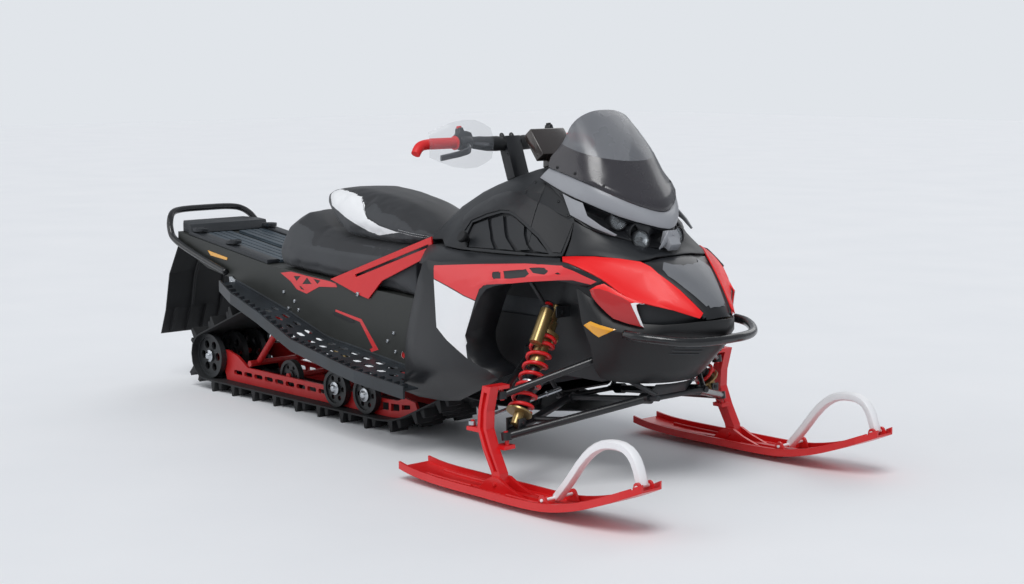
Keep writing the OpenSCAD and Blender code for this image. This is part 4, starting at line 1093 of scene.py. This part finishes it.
class SNOWMOBILE_OT_seats(bpy.types.Operator):
    """Makes the padded driver's and passenger's seats with their seams and white corner"""

    bl_idname = "snowmobile.seats"
    bl_label = "Seats"

    def execute(self, context):
        sizes = context.scene.snowmobile
        front = seat_pad("driver_seat", "driver_pad", sizes.swell, sizes.grain)
        rear = seat_pad("rear_seat", "rear_pad", sizes.swell, sizes.grain)
        for piece, node in ((front, "driver_seat"), (rear, "rear_seat")):
            piece.data.materials.clear()
            piece.data.materials.append(MATERIALS["seat_vinyl_side"])
            piece.data.materials.append(MATERIALS["seat_vinyl_top"])
            for face in piece.data.polygons:
                face.material_index = 1 if face.normal.z > 0.62 else 0
            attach(piece, "chassis")
            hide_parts(node)
        corner = [(-478, 829), (-434, 797), (-190, 722), (-126, 709), (-12, 727), (-112, 745), (-184, 766),
                  (-236, 816), (-268, 837), (-319, 847), (-392, 853), (-450, 853), (-490, 845)]
        welt = [(-12, 728), (40, 722), (110, 716), (150, 712)]
        for side, tag in ((RIGHT, "right"), (LEFT, "left")):
            patch = film(front, "seat_corner_" + tag, corner, side, 0.2, 0.9, facing=-0.35)
            dress(patch, "chassis", "seat_vinyl_white")
            seam_line(front, "seat_welt_" + tag, [(-268, 838), (-190, 772), (-112, 745), (-12, 728)], side, 1.2,
                      "seat_vinyl_top")
            stitches(front, "seat_stitch_low_" + tag, welt, side, "white_film")
            stitches(front, "seat_stitch_high_" + tag, [(x, z + 8) for x, z in welt], side, "white_film")
        return {"FINISHED"}


class SNOWMOBILE_OT_films(bpy.types.Operator):
    """Lays the printed films, reflectors and darker blades on the shells, and a black film as painted shade in each
    tunnel side's slot
    """

    bl_idname = "snowmobile.films"
    bl_label = "Films and reflectors"

    def execute(self, context):
        red = [(426, 662), (640, 683), (850, 701), (990, 705), (1034, 692), (1106, 662), (1086, 652),
               (1033, 663), (995, 661), (946, 655), (854, 643), (706, 625), (677, 609), (657, 571), (434, 620)]
        white = [(434, 617), (656, 568), (605, 448), (612, 377), (463, 463)]
        vents = [
            [(719, 655), (722, 664), (757, 669), (772, 650), (741, 646)],
            [(768, 672), (862, 685), (884, 673), (872, 661), (790, 651)],
            [(872, 690), (924, 695), (958, 686), (944, 675), (900, 676)],
            [(974, 682), (984, 686), (1006, 678)],
        ]
        blade = [(1091, 640), (1117, 641), (1160, 624), (1206, 599), (1228, 598), (1224, 526), (1154, 550),
                 (1112, 592)]
        dart = [(1199, 603), (1222, 600), (1216, 589), (1226, 532), (1219, 530)]
        amber_nose = [(1067, 527), (1091, 540), (1163, 518), (1108, 492)]
        amber_tail = [(-1178, 579), (-1036, 560), (-1042, 550), (-1157, 560)]
        truss = [(-676, 531), (-607, 541), (-498, 533), (-364, 526), (-325, 521), (-318, 508), (-428, 500), (-509, 466),
                 (-571, 477), (-610, 504)]
        openings = [
            [(-590, 526), (-545, 530), (-572, 508)],
            [(-536, 500), (-505, 528), (-475, 505)],
            [(-465, 527), (-420, 523), (-440, 509)],
            [(-560, 492), (-545, 492), (-520, 478), (-548, 481)],
        ]
        bent = [(-329, 425), (-174, 405), (-90, 318), (-78, 305), (-118, 291), (-127, 301), (-110, 308),
                (-184, 394), (-331, 417)]
        # The slot recessed in the tunnel's side: a flat black film painted as the shade in it
        recess = [(-352, 412), (-338, 416), (-226, 398), (-214, 392), (-226, 384), (-340, 402)]
        for side, tag in ((RIGHT, "right"), (LEFT, "left")):
            panel = "side_panel_" + tag
            dress(film(panel, "panel_red_" + tag, red, side, 0.2, 0.6, holes=vents), "chassis", "red_film")
            dress(film(panel, "panel_white_" + tag, white, side, 0.2, 0.6), "chassis", "white_film")
            dress(film("hood_sides", "hood_blade_" + tag, blade, side, 0.3, 0.6, facing=0.3), "chassis",
                  "deep_red_shell")
            dress(film("hood_sides", "hood_dart_" + tag, dart, side, 1.0, 0.6, facing=0.3), "chassis",
                  "white_film")
            dress(film("lower_nose", "nose_reflector_" + tag, amber_nose, side, 0.3, 2.4), "chassis",
                  "amber_acrylic")
            dress(film("tunnel", "tail_reflector_" + tag, amber_tail, side, 0.3, 2.4), "chassis",
                  "amber_acrylic")
            dress(film("tunnel", "tunnel_truss_" + tag, truss, side, 0.2, 0.6, holes=openings), "chassis",
                  "red_film")
            dress(film("tunnel", "tunnel_line_" + tag, bent, side, 0.2, 0.6), "chassis", "red_film")
            # Painted shade: a flat black film stands in for the shade in the tunnel's recessed slot
            dress(film("tunnel", "tunnel_slot_" + tag, recess, side, 0.2, 0.6), "chassis",
                  "smooth_black_abs")
        return {"FINISHED"}


def lamp_parts(place, turn, tag):
    """The bowl, lens ring and cover of one headlamp, at its place in millimetres."""
    bpy.ops.object.select_all(action="DESELECT")
    spot = Vector(place) * MM
    way = (0, math.radians(84), math.radians(turn))
    bpy.ops.mesh.primitive_cylinder_add(vertices=48, radius=27.5 * MM, depth=10 * MM, location=spot, rotation=way)
    bowl = bpy.context.object
    bowl.name = "lamp_bowl_" + tag
    forward = bowl.matrix_world.to_3x3() @ Vector((0, 0, 1))
    bowl.location = spot - forward * 8 * MM
    settle(bowl)
    edit(bowl)
    pick(bowl, lambda f: f.normal.dot(forward) > 0.9)
    bpy.ops.mesh.inset(thickness=1.6 * MM, depth=0)
    for inward, deeper in ((4, 3.6), (6, 3.0), (7, 1.2)):
        bpy.ops.mesh.inset(thickness=inward * MM, depth=-deeper * MM)
    leave(bowl)
    round_off(bowl, 40)
    dress(bowl, "chassis", "lamp_reflector")
    bpy.ops.object.select_all(action="DESELECT")
    bpy.ops.mesh.primitive_uv_sphere_add(segments=40, ring_count=20, radius=11 * MM, location=spot - forward * 9 * MM)
    bulb = bpy.context.object
    bulb.name = "lamp_projector_" + tag
    settle(bulb)
    round_off(bulb, 60)
    dress(bulb, "chassis", "gauge_glass")
    bpy.ops.object.select_all(action="DESELECT")
    bpy.ops.mesh.primitive_cylinder_add(
        vertices=48, radius=27.6 * MM, depth=2.4 * MM, location=spot + forward * 0.6 * MM, rotation=way
    )
    cover = bpy.context.object
    cover.name = "lamp_glass_" + tag
    settle(cover)
    edit(cover)
    pick(cover, lambda f: f.normal.dot(forward) > 0.9)
    bpy.ops.mesh.inset(thickness=3 * MM, depth=1.0 * MM)
    bpy.ops.mesh.inset(thickness=7 * MM, depth=1.0 * MM)
    leave(cover)
    round_off(cover, 50)
    dress(cover, "chassis", "lamp_cover")


class SNOWMOBILE_OT_lamps(bpy.types.Operator):
    """Makes the bowls, projectors and covers of the four headlamps"""

    bl_idname = "snowmobile.lamps"
    bl_label = "Headlamps"

    def execute(self, context):
        for side, tag in ((RIGHT, "right"), (LEFT, "left")):
            lamp_parts((1036, 122 * side, 834), 22 * side, "upper_" + tag)
            lamp_parts((1097, 84 * side, 775), 14 * side, "lower_" + tag)
            arm = [(1150, side * 10, 796), (1149, side * 26, 776), (1144, side * 37, 758), (1138, side * 45, 746)]
            tube("beak_arm_" + tag, arm, 3.2, "silver_fascia", half_mm=7, taper=(1.2, 1.0, 0.6, 0.25))
            for at, wide in ((1036, 122), (1097, 84)):
                lip = [(-14, 29), (2, 31.5), (5, 31.5), (6, 28.5), (4, 27.9), (-13.6, 27.9)]
                turn = math.radians((22 if at < 1060 else 14) * side)
                way = (math.cos(turn), math.sin(turn), 0.105)
                round_part(f"lamp_lip_{at}_{tag}", (at, side * wide, 834 if at < 1060 else 775), way, lip,
                           "smooth_black_abs")
        return {"FINISHED"}


class SNOWMOBILE_OT_console(bpy.types.Operator):
    """Makes the vent panels, the raised bands, the pocket covers and the starter handle"""

    bl_idname = "snowmobile.console"
    bl_label = "Console details"

    def execute(self, context):
        vents = [
            [(478, 742), (464, 760), (468, 794), (486, 799), (534, 815), (558, 790), (581, 760), (616, 727),
             (484, 723)],
            [(554, 819), (612, 832), (638, 795), (662, 765), (718, 730), (640, 728), (600, 762), (577, 790)],
            [(630, 833), (650, 835), (690, 827), (734, 809), (750, 776), (773, 752), (802, 738), (740, 732),
             (684, 766), (658, 798)],
            [(754, 802), (798, 783), (836, 762), (870, 742), (884, 734), (824, 736), (792, 752), (770, 776)],
        ]
        band = [(380, 812), (411, 843), (500, 884), (587, 903), (660, 906), (701, 900), (829, 868), (926, 830),
                (938, 822), (938, 738), (905, 734), (884, 750), (844, 775), (802, 797), (748, 818), (694, 840),
                (650, 848), (598, 846), (536, 831), (480, 812), (452, 802), (440, 770), (420, 780)]
        pocket = [(682, 915), (708, 944), (760, 946), (834, 930), (893, 906), (930, 850), (918, 838), (776, 880)]
        for side, tag in ((RIGHT, "right"), (LEFT, "left")):
            for node in ("console", "hood"):
                for i, outline in enumerate(vents):
                    low = min(x for x, _ in outline)
                    high = max(x for x, _ in outline)
                    if (node == "console" and low > 770) or (node == "hood" and high < 784):
                        continue
                    piece = film(node, f"vent_{i}_{node}_{tag}", outline, side, -9.0, 3.0)
                    dress(piece, "chassis", "textured_shell")
                piece = film(node, f"side_band_{node}_{tag}", band, side, 0.4, 2.6)
                dress(piece, "chassis", "smooth_black_abs")
                piece = film(node, f"pocket_cover_{node}_{tag}", pocket, side, 0.4, 1.8, facing=0.02)
                dress(piece, "chassis", "pocket_plastic")
            spots = [on_skin("console", 700, 910, side, 2.2), on_skin("console", 722, 938, side, 2.2),
                     on_skin("hood", 856, 886, side, 2.2), on_skin("hood", 910, 846, side, 2.2)]
            bolts("pocket_bolts_" + tag, spots, 5.0, finish="smooth_black_abs")
        place, way = on_skin("console", 482, 742, RIGHT, 4)
        handle = [(-10, 8), (0, 12), (8, 15), (12, 19), (16, 20), (22, 20), (26, 18), (28, 12)]
        round_part("starter_handle", place + Vector((-8, 0, 2)), way, handle, "grip_rubber")
        return {"FINISHED"}


class SNOWMOBILE_OT_interior(bpy.types.Operator):
    """Makes the dark inner panels that close the view under the hood, and the shoulders"""

    bl_idname = "snowmobile.interior"
    bl_label = "Inner panels"

    def execute(self, context):
        wall = [(560, 566), (1092, 566), (1130, 620), (1104, 700), (1010, 722), (900, 728), (560, 716), (400, 706)]
        for side, tag in ((RIGHT, "right"), (LEFT, "left")):
            plate("inner_wall_" + tag, wall, (0, side * 190, 0), (1, 0, 0), (0, 0, 1), 5, "textured_shell")
            tube("nose_duct_" + tag, [(1120, side * 232, 566), (1196, side * 192, 566), (1256, side * 120, 560),
                                      (1304, side * 60, 556), (1322, 0, 554)], 3, "textured_shell", half_mm=34)
            shoulder("shoulder_" + tag, side)
        return {"FINISHED"}


def shoulder(name, side):
    """The flange between the console's lower edge and the side panel's top edge."""
    inner = [(214, 202, 706), (290, 226, 708), (364, 258, 709), (440, 268, 706), (536, 274, 706), (642, 280, 707),
             (720, 284, 709), (786, 287, 711), (880, 288, 714), (944, 284, 717)]
    outer = [(238, 268, 648), (300, 322, 656), (366, 354, 662), (440, 351, 668), (536, 347, 678), (642, 343, 689),
             (720, 338, 697), (786, 333, 703), (880, 324, 710), (972, 311, 711)]
    bpy.ops.object.select_all(action="DESELECT")
    bpy.ops.mesh.primitive_grid_add(x_subdivisions=len(inner) - 1, y_subdivisions=4, size=2)
    made = bpy.context.object
    made.name = name
    last = len(inner) - 1
    for vertex in made.data.vertices:
        along = (vertex.co.x + 1) / 2 * last
        k = min(last - 1, int(along + 0.0001))
        t = along - k
        low = Vector(inner[k]).lerp(Vector(inner[k + 1]), t)
        high = Vector(outer[k]).lerp(Vector(outer[k + 1]), t)
        across = (vertex.co.y + 1) / 2
        spot = low.lerp(high, across)
        spot.z += 8 * math.sin(math.pi * across)
        vertex.co = Vector((spot.x, spot.y * side, spot.z)) * MM
    edit(made)
    bpy.ops.mesh.select_all(action="SELECT")
    bpy.ops.mesh.normals_make_consistent(inside=False)
    leave(made)
    modify(made, "SOLIDIFY", thickness=3 * MM, offset=0.0)
    modify(made, "BEVEL", width=1 * MM, segments=2, limit_method="ANGLE", angle_limit=math.radians(50))
    round_off(made, 40)
    return dress(made, "chassis", "textured_shell")


class SNOWMOBILE_OT_chassis(bpy.types.Operator):
    """Makes the flanges, cleats, brackets, bolts, hub caps, flap ribs, track teeth and ski ribs"""

    bl_idname = "snowmobile.chassis"
    bl_label = "Chassis details"

    def execute(self, context):
        line = [(-985, 470), (-640, 386), (-385, 312), (63, 262), (330, 241)]
        edge = [(-985, 284), (-850, 322), (-596, 348), (-333, 374), (-102, 405), (60, 420), (330, 420)]
        spots = [(-656, 459), (-586, 431), (-626, 400), (-561, 400), (13, 375), (-22, 343), (23, 310)]
        for side, tag in ((RIGHT, "right"), (LEFT, "left")):
            flange = []
            for (ax, az), (bx, bz) in zip(line, line[1:]):
                flange += [(ax + (bx - ax) * t, side * 206, az + (bz - az) * t - 4) for t in (0, 0.33, 0.67)]
            flange.append((330, side * 206, 237))
            tube("board_flange_" + tag, flange, 2.5, "board_powder_coat", half_mm=12)
            tooth = [(-9, -4), (9, -4), (5, 6), (-5, 6)]
            one = plate("cleat_one", tooth, (0, 0, 0), (1, 0, 0), (0, 0, 1), 26, "board_powder_coat", bevel_mm=1.2)
            turns = []
            for k in range(31):
                x = -930 + 41 * k
                slope = level(line, x + 1) - level(line, x - 1)
                turn = Matrix.Rotation(-math.atan2(slope, 2), 4, "Y")
                turn.translation = Vector((x, side * (level(edge, x) - 24), level(line, x) + 5)) * MM
                turns.append(turn)
            copies("board_cleats_" + tag, one, turns, "chassis", "board_powder_coat")
            bracket = [(-1022, 486), (-1004, 488), (-982, 476), (-980, 394), (-992, 384), (-1006, 398)]
            plate("board_bracket_" + tag, bracket, (0, side * 210, 0), (1, 0, 0), (0, 0, 1), 5, "bracket_aluminium",
                  bevel_mm=1.2)
            heads = [on_skin("tunnel", x, z, side, 1) for x, z in spots]
            heads += [((x, side * 212.5, z), (0, side, 0)) for x, z in ((-1002, 466), (-992, 412))]
            bolts("tunnel_bolts_" + tag, heads, 7)
            bolts("brace_bolts_" + tag, [on_skin("seat_braces", -184, 496, side, 0.5)], 9)
            cap = [(0, 25), (3, 25), (5, 19), (8, 14), (12, 12), (14, 9)]
            for i, (x, z) in enumerate(((-1253, 137), (-399, 116), (-217, 116))):
                round_part(f"hub_cap_{i}_{tag}", (x, side * 165, z), (0, side, 0), cap, "bright_steel")
            ribs = [(-1404, side * 72, 604), (-1497, side * 72, 455), (-1534, side * 72, 300), (-1566, side * 72, 220)]
            tube("flap_rib_" + tag, ribs, 7, "flap_rubber", half_mm=9)
            ski = "ski_" + tag
            for i, off in enumerate((-34, 34)):
                starts = [(x, side * (538.5 + off), 600) for x in range(1010, 1190, 30)]
                laid(f"ski_rib_{i}_{tag}", ski, starts, (0, 0, -1), 4, "ski_polyethylene", ski, half_mm=5)
                starts = [(x, side * (538.5 + off), 600) for x in range(640, 860, 30)]
                laid(f"ski_rib_back_{i}_{tag}", ski, starts, (0, 0, -1), 4, "ski_polyethylene", ski, half_mm=5)
            for i in range(4):
                starts = [(1500, side * y, 438 + 11 * i) for y in (48, 66, 84, 102, 118)]
                laid(f"grille_slat_{i}_{tag}", "lower_nose", starts, (-1, 0, 0), 2.4, "deck_rail_plastic")
        track_teeth()
        return {"FINISHED"}


def level(line, x):
    """The height or width that a line of points gives at x, in millimetres."""
    for (ax, az), (bx, bz) in zip(line, line[1:]):
        if x <= bx:
            break
    return az + (bz - az) * (x - ax) / (bx - ax)


def belt_places(count, off_mm, shift):
    """Places and outward ways of teeth spaced evenly round the track, off its inner face."""
    wheels = [(-1253, 137, 91), (-120, 466, 420), (225, 262, 92), (-800, 345, 65)]
    heads = []
    for i, (x, z, r) in enumerate(wheels):
        far_x, far_z, far_r = wheels[(i + 1) % 4]
        gap = math.hypot(far_x - x, far_z - z)
        head = math.atan2(far_z - z, far_x - x) + math.asin((r - far_r) / gap)
        while heads and head < heads[-1]:
            head += math.tau
        heads.append(head)
    spans = []
    for i, (x, z, r) in enumerate(wheels):
        start = heads[i - 1] - (math.tau if i == 0 else 0)
        far_x, far_z, far_r = wheels[(i + 1) % 4]
        run = math.sqrt((far_x - x) ** 2 + (far_z - z) ** 2 - (r - far_r) ** 2)
        spans.append((i, start, heads[i], (r + 3) * (heads[i] - start), True))
        spans.append((i, heads[i], heads[i], run, False))
    total = sum(span[3] for span in spans)
    found = []
    for k in range(count):
        at = (k + shift) % count / count * total
        for i, start, stop, length, curved in spans:
            if at <= length:
                break
            at -= length
        x, z, r = wheels[i]
        angle = start + (stop - start) * at / length if curved else stop
        slide = 0 if curved else at
        out = Vector((math.sin(angle), 0, -math.cos(angle)))
        along = Vector((math.cos(angle), 0, math.sin(angle)))
        found.append((Vector((x, 0, z)) + out * (r + off_mm) + along * slide, out, along))
    return found


def track_teeth():
    """Lower teeth between the lugs of the track, in five bands across it."""
    bands = [(-152, 60), (-82, 62), (0, 78), (82, 62), (152, 60)]
    for row in (0, 1):
        one = plate("tooth_one", [(-11, -2), (11, -2), (5, 27), (-5, 27)], (0, 0, 0), (1, 0, 0), (0, 0, 1), 58,
                    "track_rubber", bevel_mm=2)
        turns = []
        for k, (place, out, along) in enumerate(belt_places(50, 6, 0.93)):
            if k % 2 != row:
                continue
            for y, _ in bands[row::2]:
                turn = Matrix((along, along.cross(out) * -1, out)).transposed().to_4x4()
                turn.translation = (place + Vector((0, y, 0))) * MM
                turns.append(turn)
        copies(f"track_teeth_{row}", one, turns, "chassis", "track_rubber")


class SNOWMOBILE_OT_screen(bpy.types.Operator):
    """Lays the dark lower band on the windshield and its fixing screws"""

    bl_idname = "snowmobile.screen"
    bl_label = "Windshield details"

    def execute(self, context):
        middle = Vector((0.8, 0, 0.95))
        piece = joined_copy("windshield", "screen_band")
        edit(piece)
        bpy.ops.mesh.select_all(action="SELECT")
        bpy.ops.mesh.bisect(plane_co=(1, 0, 1.012), plane_no=(0.3, 0, 1), clear_outer=True)
        pick(piece, lambda f: f.normal.dot((f.calc_center_median() - middle).normalized()) < 0.25)
        bpy.ops.mesh.delete(type="FACE")
        bpy.ops.mesh.select_all(action="SELECT")
        bpy.ops.transform.shrink_fatten(value=0.3 * MM)
        leave(piece)
        modify(piece, "SOLIDIFY", thickness=0.8 * MM, offset=1.0)
        round_off(piece, 50)
        dress(piece, "chassis", "smoke_screen_band")
        for side, tag in ((RIGHT, "right"), (LEFT, "left")):
            spots = [on_skin("windshield", x, z, side, 1.2) for x, z in ((830, 992), (905, 976), (1000, 940))]
            bolts("screen_screws_" + tag, spots, 5.0, finish="smooth_black_abs")
        return {"FINISHED"}


class SNOWMOBILE_OT_bars(bpy.types.Operator):
    """Makes the grips, levers, switches, pad and clamps of the handlebar, and the gauge"""

    bl_idname = "snowmobile.bars"
    bl_label = "Handlebar details"

    def execute(self, context):
        for side, tag in ((RIGHT, "right"), (LEFT, "left")):
            line = [(378, 230, 1057), (376, 264, 1057), (377, 320, 1056), (378, 354, 1055), (381, 378, 1050),
                    (385, 393, 1040), (388, 404, 1026)]
            line = [(x, y * side, z) for x, y, z in line]
            grip = tube("grip_sleeve_" + tag, line, 17.5, "red_grip_rubber", "steering",
                        taper=(1.08, 1.0, 0.98, 0.98, 0.96, 0.95, 0.9))
            if tag == "right":
                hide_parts("grips")
            rings = [((377, side * (238 + 7 * k), 1057), (0, 1, 0)) for k in range(14)]
            ring = round_part("grip_ring_one", (0, 0, 0), (0, 0, 1), [(-1.6, 17.6), (-0.9, 18.6), (0.9, 18.6),
                                                                      (1.6, 17.6)], "red_grip_rubber", "steering")
            turns = []
            for place, way in rings:
                turn = Vector(way).to_track_quat("Z", "X").to_matrix().to_4x4()
                turn.translation = Vector(place) * MM
                turns.append(turn)
            copies("grip_rings_" + tag, ring, turns, "steering", "red_grip_rubber")
            flange = [(0, 17), (1, 23), (5, 24), (7, 18)]
            round_part("grip_flange_" + tag, (378, side * 224, 1057), (0, side, 0), flange, "red_grip_rubber", "steering")
            lever = [(404, side * 192, 1046), (432, side * 210, 1036), (436, side * 246, 1026),
                     (432, side * 292, 1018), (428, side * 330, 1012)]
            tube("lever_" + tag, lever, 4.6, "lever_grey", "steering", half_mm=7, taper=(1, 1.1, 1, 0.9, 0.9))
            case = [(-26, 15), (-25, 22), (-20, 25), (20, 25), (25, 22), (26, 15)]
            round_part("switch_case_" + tag, (380, side * 190, 1057), (0, side, 0), case, "smooth_black_abs", "steering")
            block = [(-30, -4), (-26, 12), (-8, 18), (4, 18), (8, 30), (18, 30), (22, 14), (30, 8), (30, -4)]
            plate("switch_block_" + tag, block, (380, side * 192, 1074), (0, side, 0), (-0.2, 0, 1), 26,
                  "smooth_black_abs", "steering", bevel_mm=2.5)
            cap = [(0, 8), (3, 9), (6, 9), (8, 7.5)]
            round_part("stop_button_" + tag, (374, side * 205, 1104), (-0.2, 0, 1), cap,
                       "red_grip_rubber" if side == RIGHT else "grip_rubber", "steering")
            pad = [(398, side * 36, 1049), (397, side * 60, 1050), (394, side * 100, 1051), (388, side * 130, 1054), (383, side * 162, 1056)]
            tube("bar_pad_" + tag, pad, 24, "bar_pad_foam", "steering", taper=(0.98, 1.06, 1.02, 0.94, 0.8))
            post = [(0, 9), (22, 9), (30, 7.5), (34, 4)]
            round_part("clamp_post_" + tag, (391, side * 22, 1052), (-0.34, 0, 0.94), post, "smooth_black_abs",
                       "steering")
            cup = [(0, 14), (3, 14), (8, 11.5)]
            round_part("clamp_boss_" + tag, (424, side * 22, 1012), (0.94, 0, 0.34), cup, "smooth_black_abs", "steering")
        clamp = [(-25, -30), (-25, 26), (-18, 32), (18, 32), (25, 26), (25, -30), (18, -36), (-18, -36)]
        plate("clamp_plate", clamp, (416, 0, 1030), (0, 1, 0), (-0.34, 0, 0.94), 8, "smooth_black_abs", "steering",
              bevel_mm=2)
        gauge = shell_copy("gauge", "gauge_case", "gauge_smoke", bevel_mm=5.0)
        low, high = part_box("gauge")
        face = gauge_face(gauge, low, high)
        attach(face, "chassis")
        return {"FINISHED"}


def gauge_face(case, low, high):
    """The dark screen and its rim on the rear face of the gauge."""
    mid = (Vector(low) + Vector(high)) / 2
    hit, place, normal, _ = case.ray_cast(Vector((low[0] - 0.2, 0, mid.z + 0.012)), Vector((1, 0, 0)))
    if not hit:
        raise RuntimeError("the gauge has no rear face")
    up = Vector((0, 0, 1)) - normal * normal.z
    outline = [(-64, -34), (-64, 30), (-56, 38), (56, 38), (64, 30), (64, -34), (56, -42), (-56, -42)]
    plate("gauge_rim", outline, place / MM + normal * 0.6, Vector((0, 1, 0)), up, 3, "smooth_black_abs", bevel_mm=1)
    inner = [(x * 0.88, y * 0.84) for x, y in outline]
    return plate("gauge_screen", inner, place / MM + normal * 1.8, Vector((0, 1, 0)), up, 2, "gauge_glass",
                 bevel_mm=0.6)


class SNOWMOBILE_OT_stage(bpy.types.Operator):
    """Makes the pale floor and backdrop, the soft lights and the camera"""

    bl_idname = "snowmobile.stage"
    bl_label = "Floor, lights and camera"

    def execute(self, context):
        scene = context.scene
        scene.view_settings.view_transform = "Standard"
        bpy.ops.object.select_all(action="DESELECT")
        bpy.ops.mesh.primitive_plane_add(size=60)
        floor = context.object
        floor.name = "studio_floor"
        made, tree = new_material("studio_floor_paint")
        place = add(tree, "ShaderNodeTexCoord").outputs["Object"]
        cloud = add(tree, "ShaderNodeTexNoise", {"Vector": place, "Scale": 1.5, "Detail": 3.0})
        colour = (*scene.snowmobile.floor_colour, 1.0)
        tone = add(
            tree,
            "ShaderNodeMix",
            {"Factor": cloud.outputs["Fac"], 6: colour, 7: linear("f1f2f4")},
            data_type="RGBA",
        )
        shader = add(
            tree,
            "ShaderNodeBsdfPrincipled",
            {"Base Color": tone.outputs[2], "Roughness": 0.8, "Specular IOR Level": 0.2},
        )
        close_material(tree, shader)
        floor.data.materials.append(made)
        world = bpy.data.worlds.new("studio_world")
        scene.world = world
        world.use_nodes = True
        world.node_tree.nodes.clear()
        path = add(world.node_tree, "ShaderNodeLightPath")
        seen = add(
            world.node_tree,
            "ShaderNodeMath",
            {0: path.outputs["Is Camera Ray"], 1: path.outputs["Is Transmission Ray"]},
            operation="MAXIMUM",
        )
        light = add(world.node_tree, "ShaderNodeBackground", {"Color": linear("e2e7ee"), "Strength": 0.5})
        white = add(world.node_tree, "ShaderNodeBackground", {"Color": linear("e1e5ea"), "Strength": 1.0})
        both = add(
            world.node_tree,
            "ShaderNodeMixShader",
            {0: seen.outputs[0], 1: light.outputs[0], 2: white.outputs[0]},
        )
        add(world.node_tree, "ShaderNodeOutputWorld", {"Surface": both.outputs[0]})
        for name, way, angle, power in (
            ("key_sun", (0.35, -0.45, 0.82), 28, 1.5),
            ("side_sun", (-0.55, -0.7, 0.45), 50, 0.45),
            ("back_sun", (-0.3, 0.8, 0.55), 40, 0.4),
        ):
            lamp = bpy.data.lights.new(name, "SUN")
            lamp.angle = math.radians(angle)
            lamp.energy = power
            holder = bpy.data.objects.new(name, lamp)
            scene.collection.objects.link(holder)
            holder.location = Vector(way) * 5
            holder.rotation_mode = "QUATERNION"
            holder.rotation_quaternion = Vector(way).to_track_quat("Z", "Y")
        eye = bpy.data.cameras.new("photo_camera")
        eye.lens = 62.82
        eye.sensor_width = 36
        view = bpy.data.objects.new("photo_camera", eye)
        scene.collection.objects.link(view)
        yaw = math.radians(47.83)
        pitch = math.radians(7.38)
        back = Vector((math.sin(yaw) * math.cos(pitch), -math.cos(yaw) * math.cos(pitch), math.sin(pitch)))
        view.location = (4.918, -4.086, 1.328)
        view.rotation_mode = "QUATERNION"
        view.rotation_quaternion = back.to_track_quat("Z", "Y") @ Quaternion((0, 0, 1), math.radians(-0.22))
        scene.camera = view
        return {"FINISHED"}


class SNOWMOBILE_PT_panel(bpy.types.Panel):
    """Lists the steps that dress the machine"""

    bl_label = "Snowmobile"
    bl_idname = "SNOWMOBILE_PT_panel"
    bl_space_type = "VIEW_3D"
    bl_region_type = "UI"
    bl_category = "Snowmobile"

    def draw(self, context):
        sizes = context.scene.snowmobile
        for name in ("film", "swell", "grain", "floor_colour"):
            self.layout.prop(sizes, name)
        for step in STEPS:
            self.layout.operator(step.bl_idname)


STEPS = (
    SNOWMOBILE_OT_finishes,
    SNOWMOBILE_OT_shells,
    SNOWMOBILE_OT_seats,
    SNOWMOBILE_OT_films,
    SNOWMOBILE_OT_lamps,
    SNOWMOBILE_OT_console,
    SNOWMOBILE_OT_interior,
    SNOWMOBILE_OT_chassis,
    SNOWMOBILE_OT_screen,
    SNOWMOBILE_OT_bars,
    SNOWMOBILE_OT_stage,
)
CLASSES = (SnowmobileSizes, *STEPS, SNOWMOBILE_PT_panel)


def register():
    """Registers the classes and the settings."""
    for kind in CLASSES:
        bpy.utils.register_class(kind)
    bpy.types.Scene.snowmobile = bpy.props.PointerProperty(type=SnowmobileSizes)


def unregister():
    """Takes the classes and the settings away."""
    del bpy.types.Scene.snowmobile
    for kind in reversed(CLASSES):
        bpy.utils.unregister_class(kind)


def main():
    """Runs the steps in order."""
    register()
    for step in STEPS:
        family, action = step.bl_idname.split(".")
        getattr(getattr(bpy.ops, family), action)()


if __name__ == "__main__":
    main()
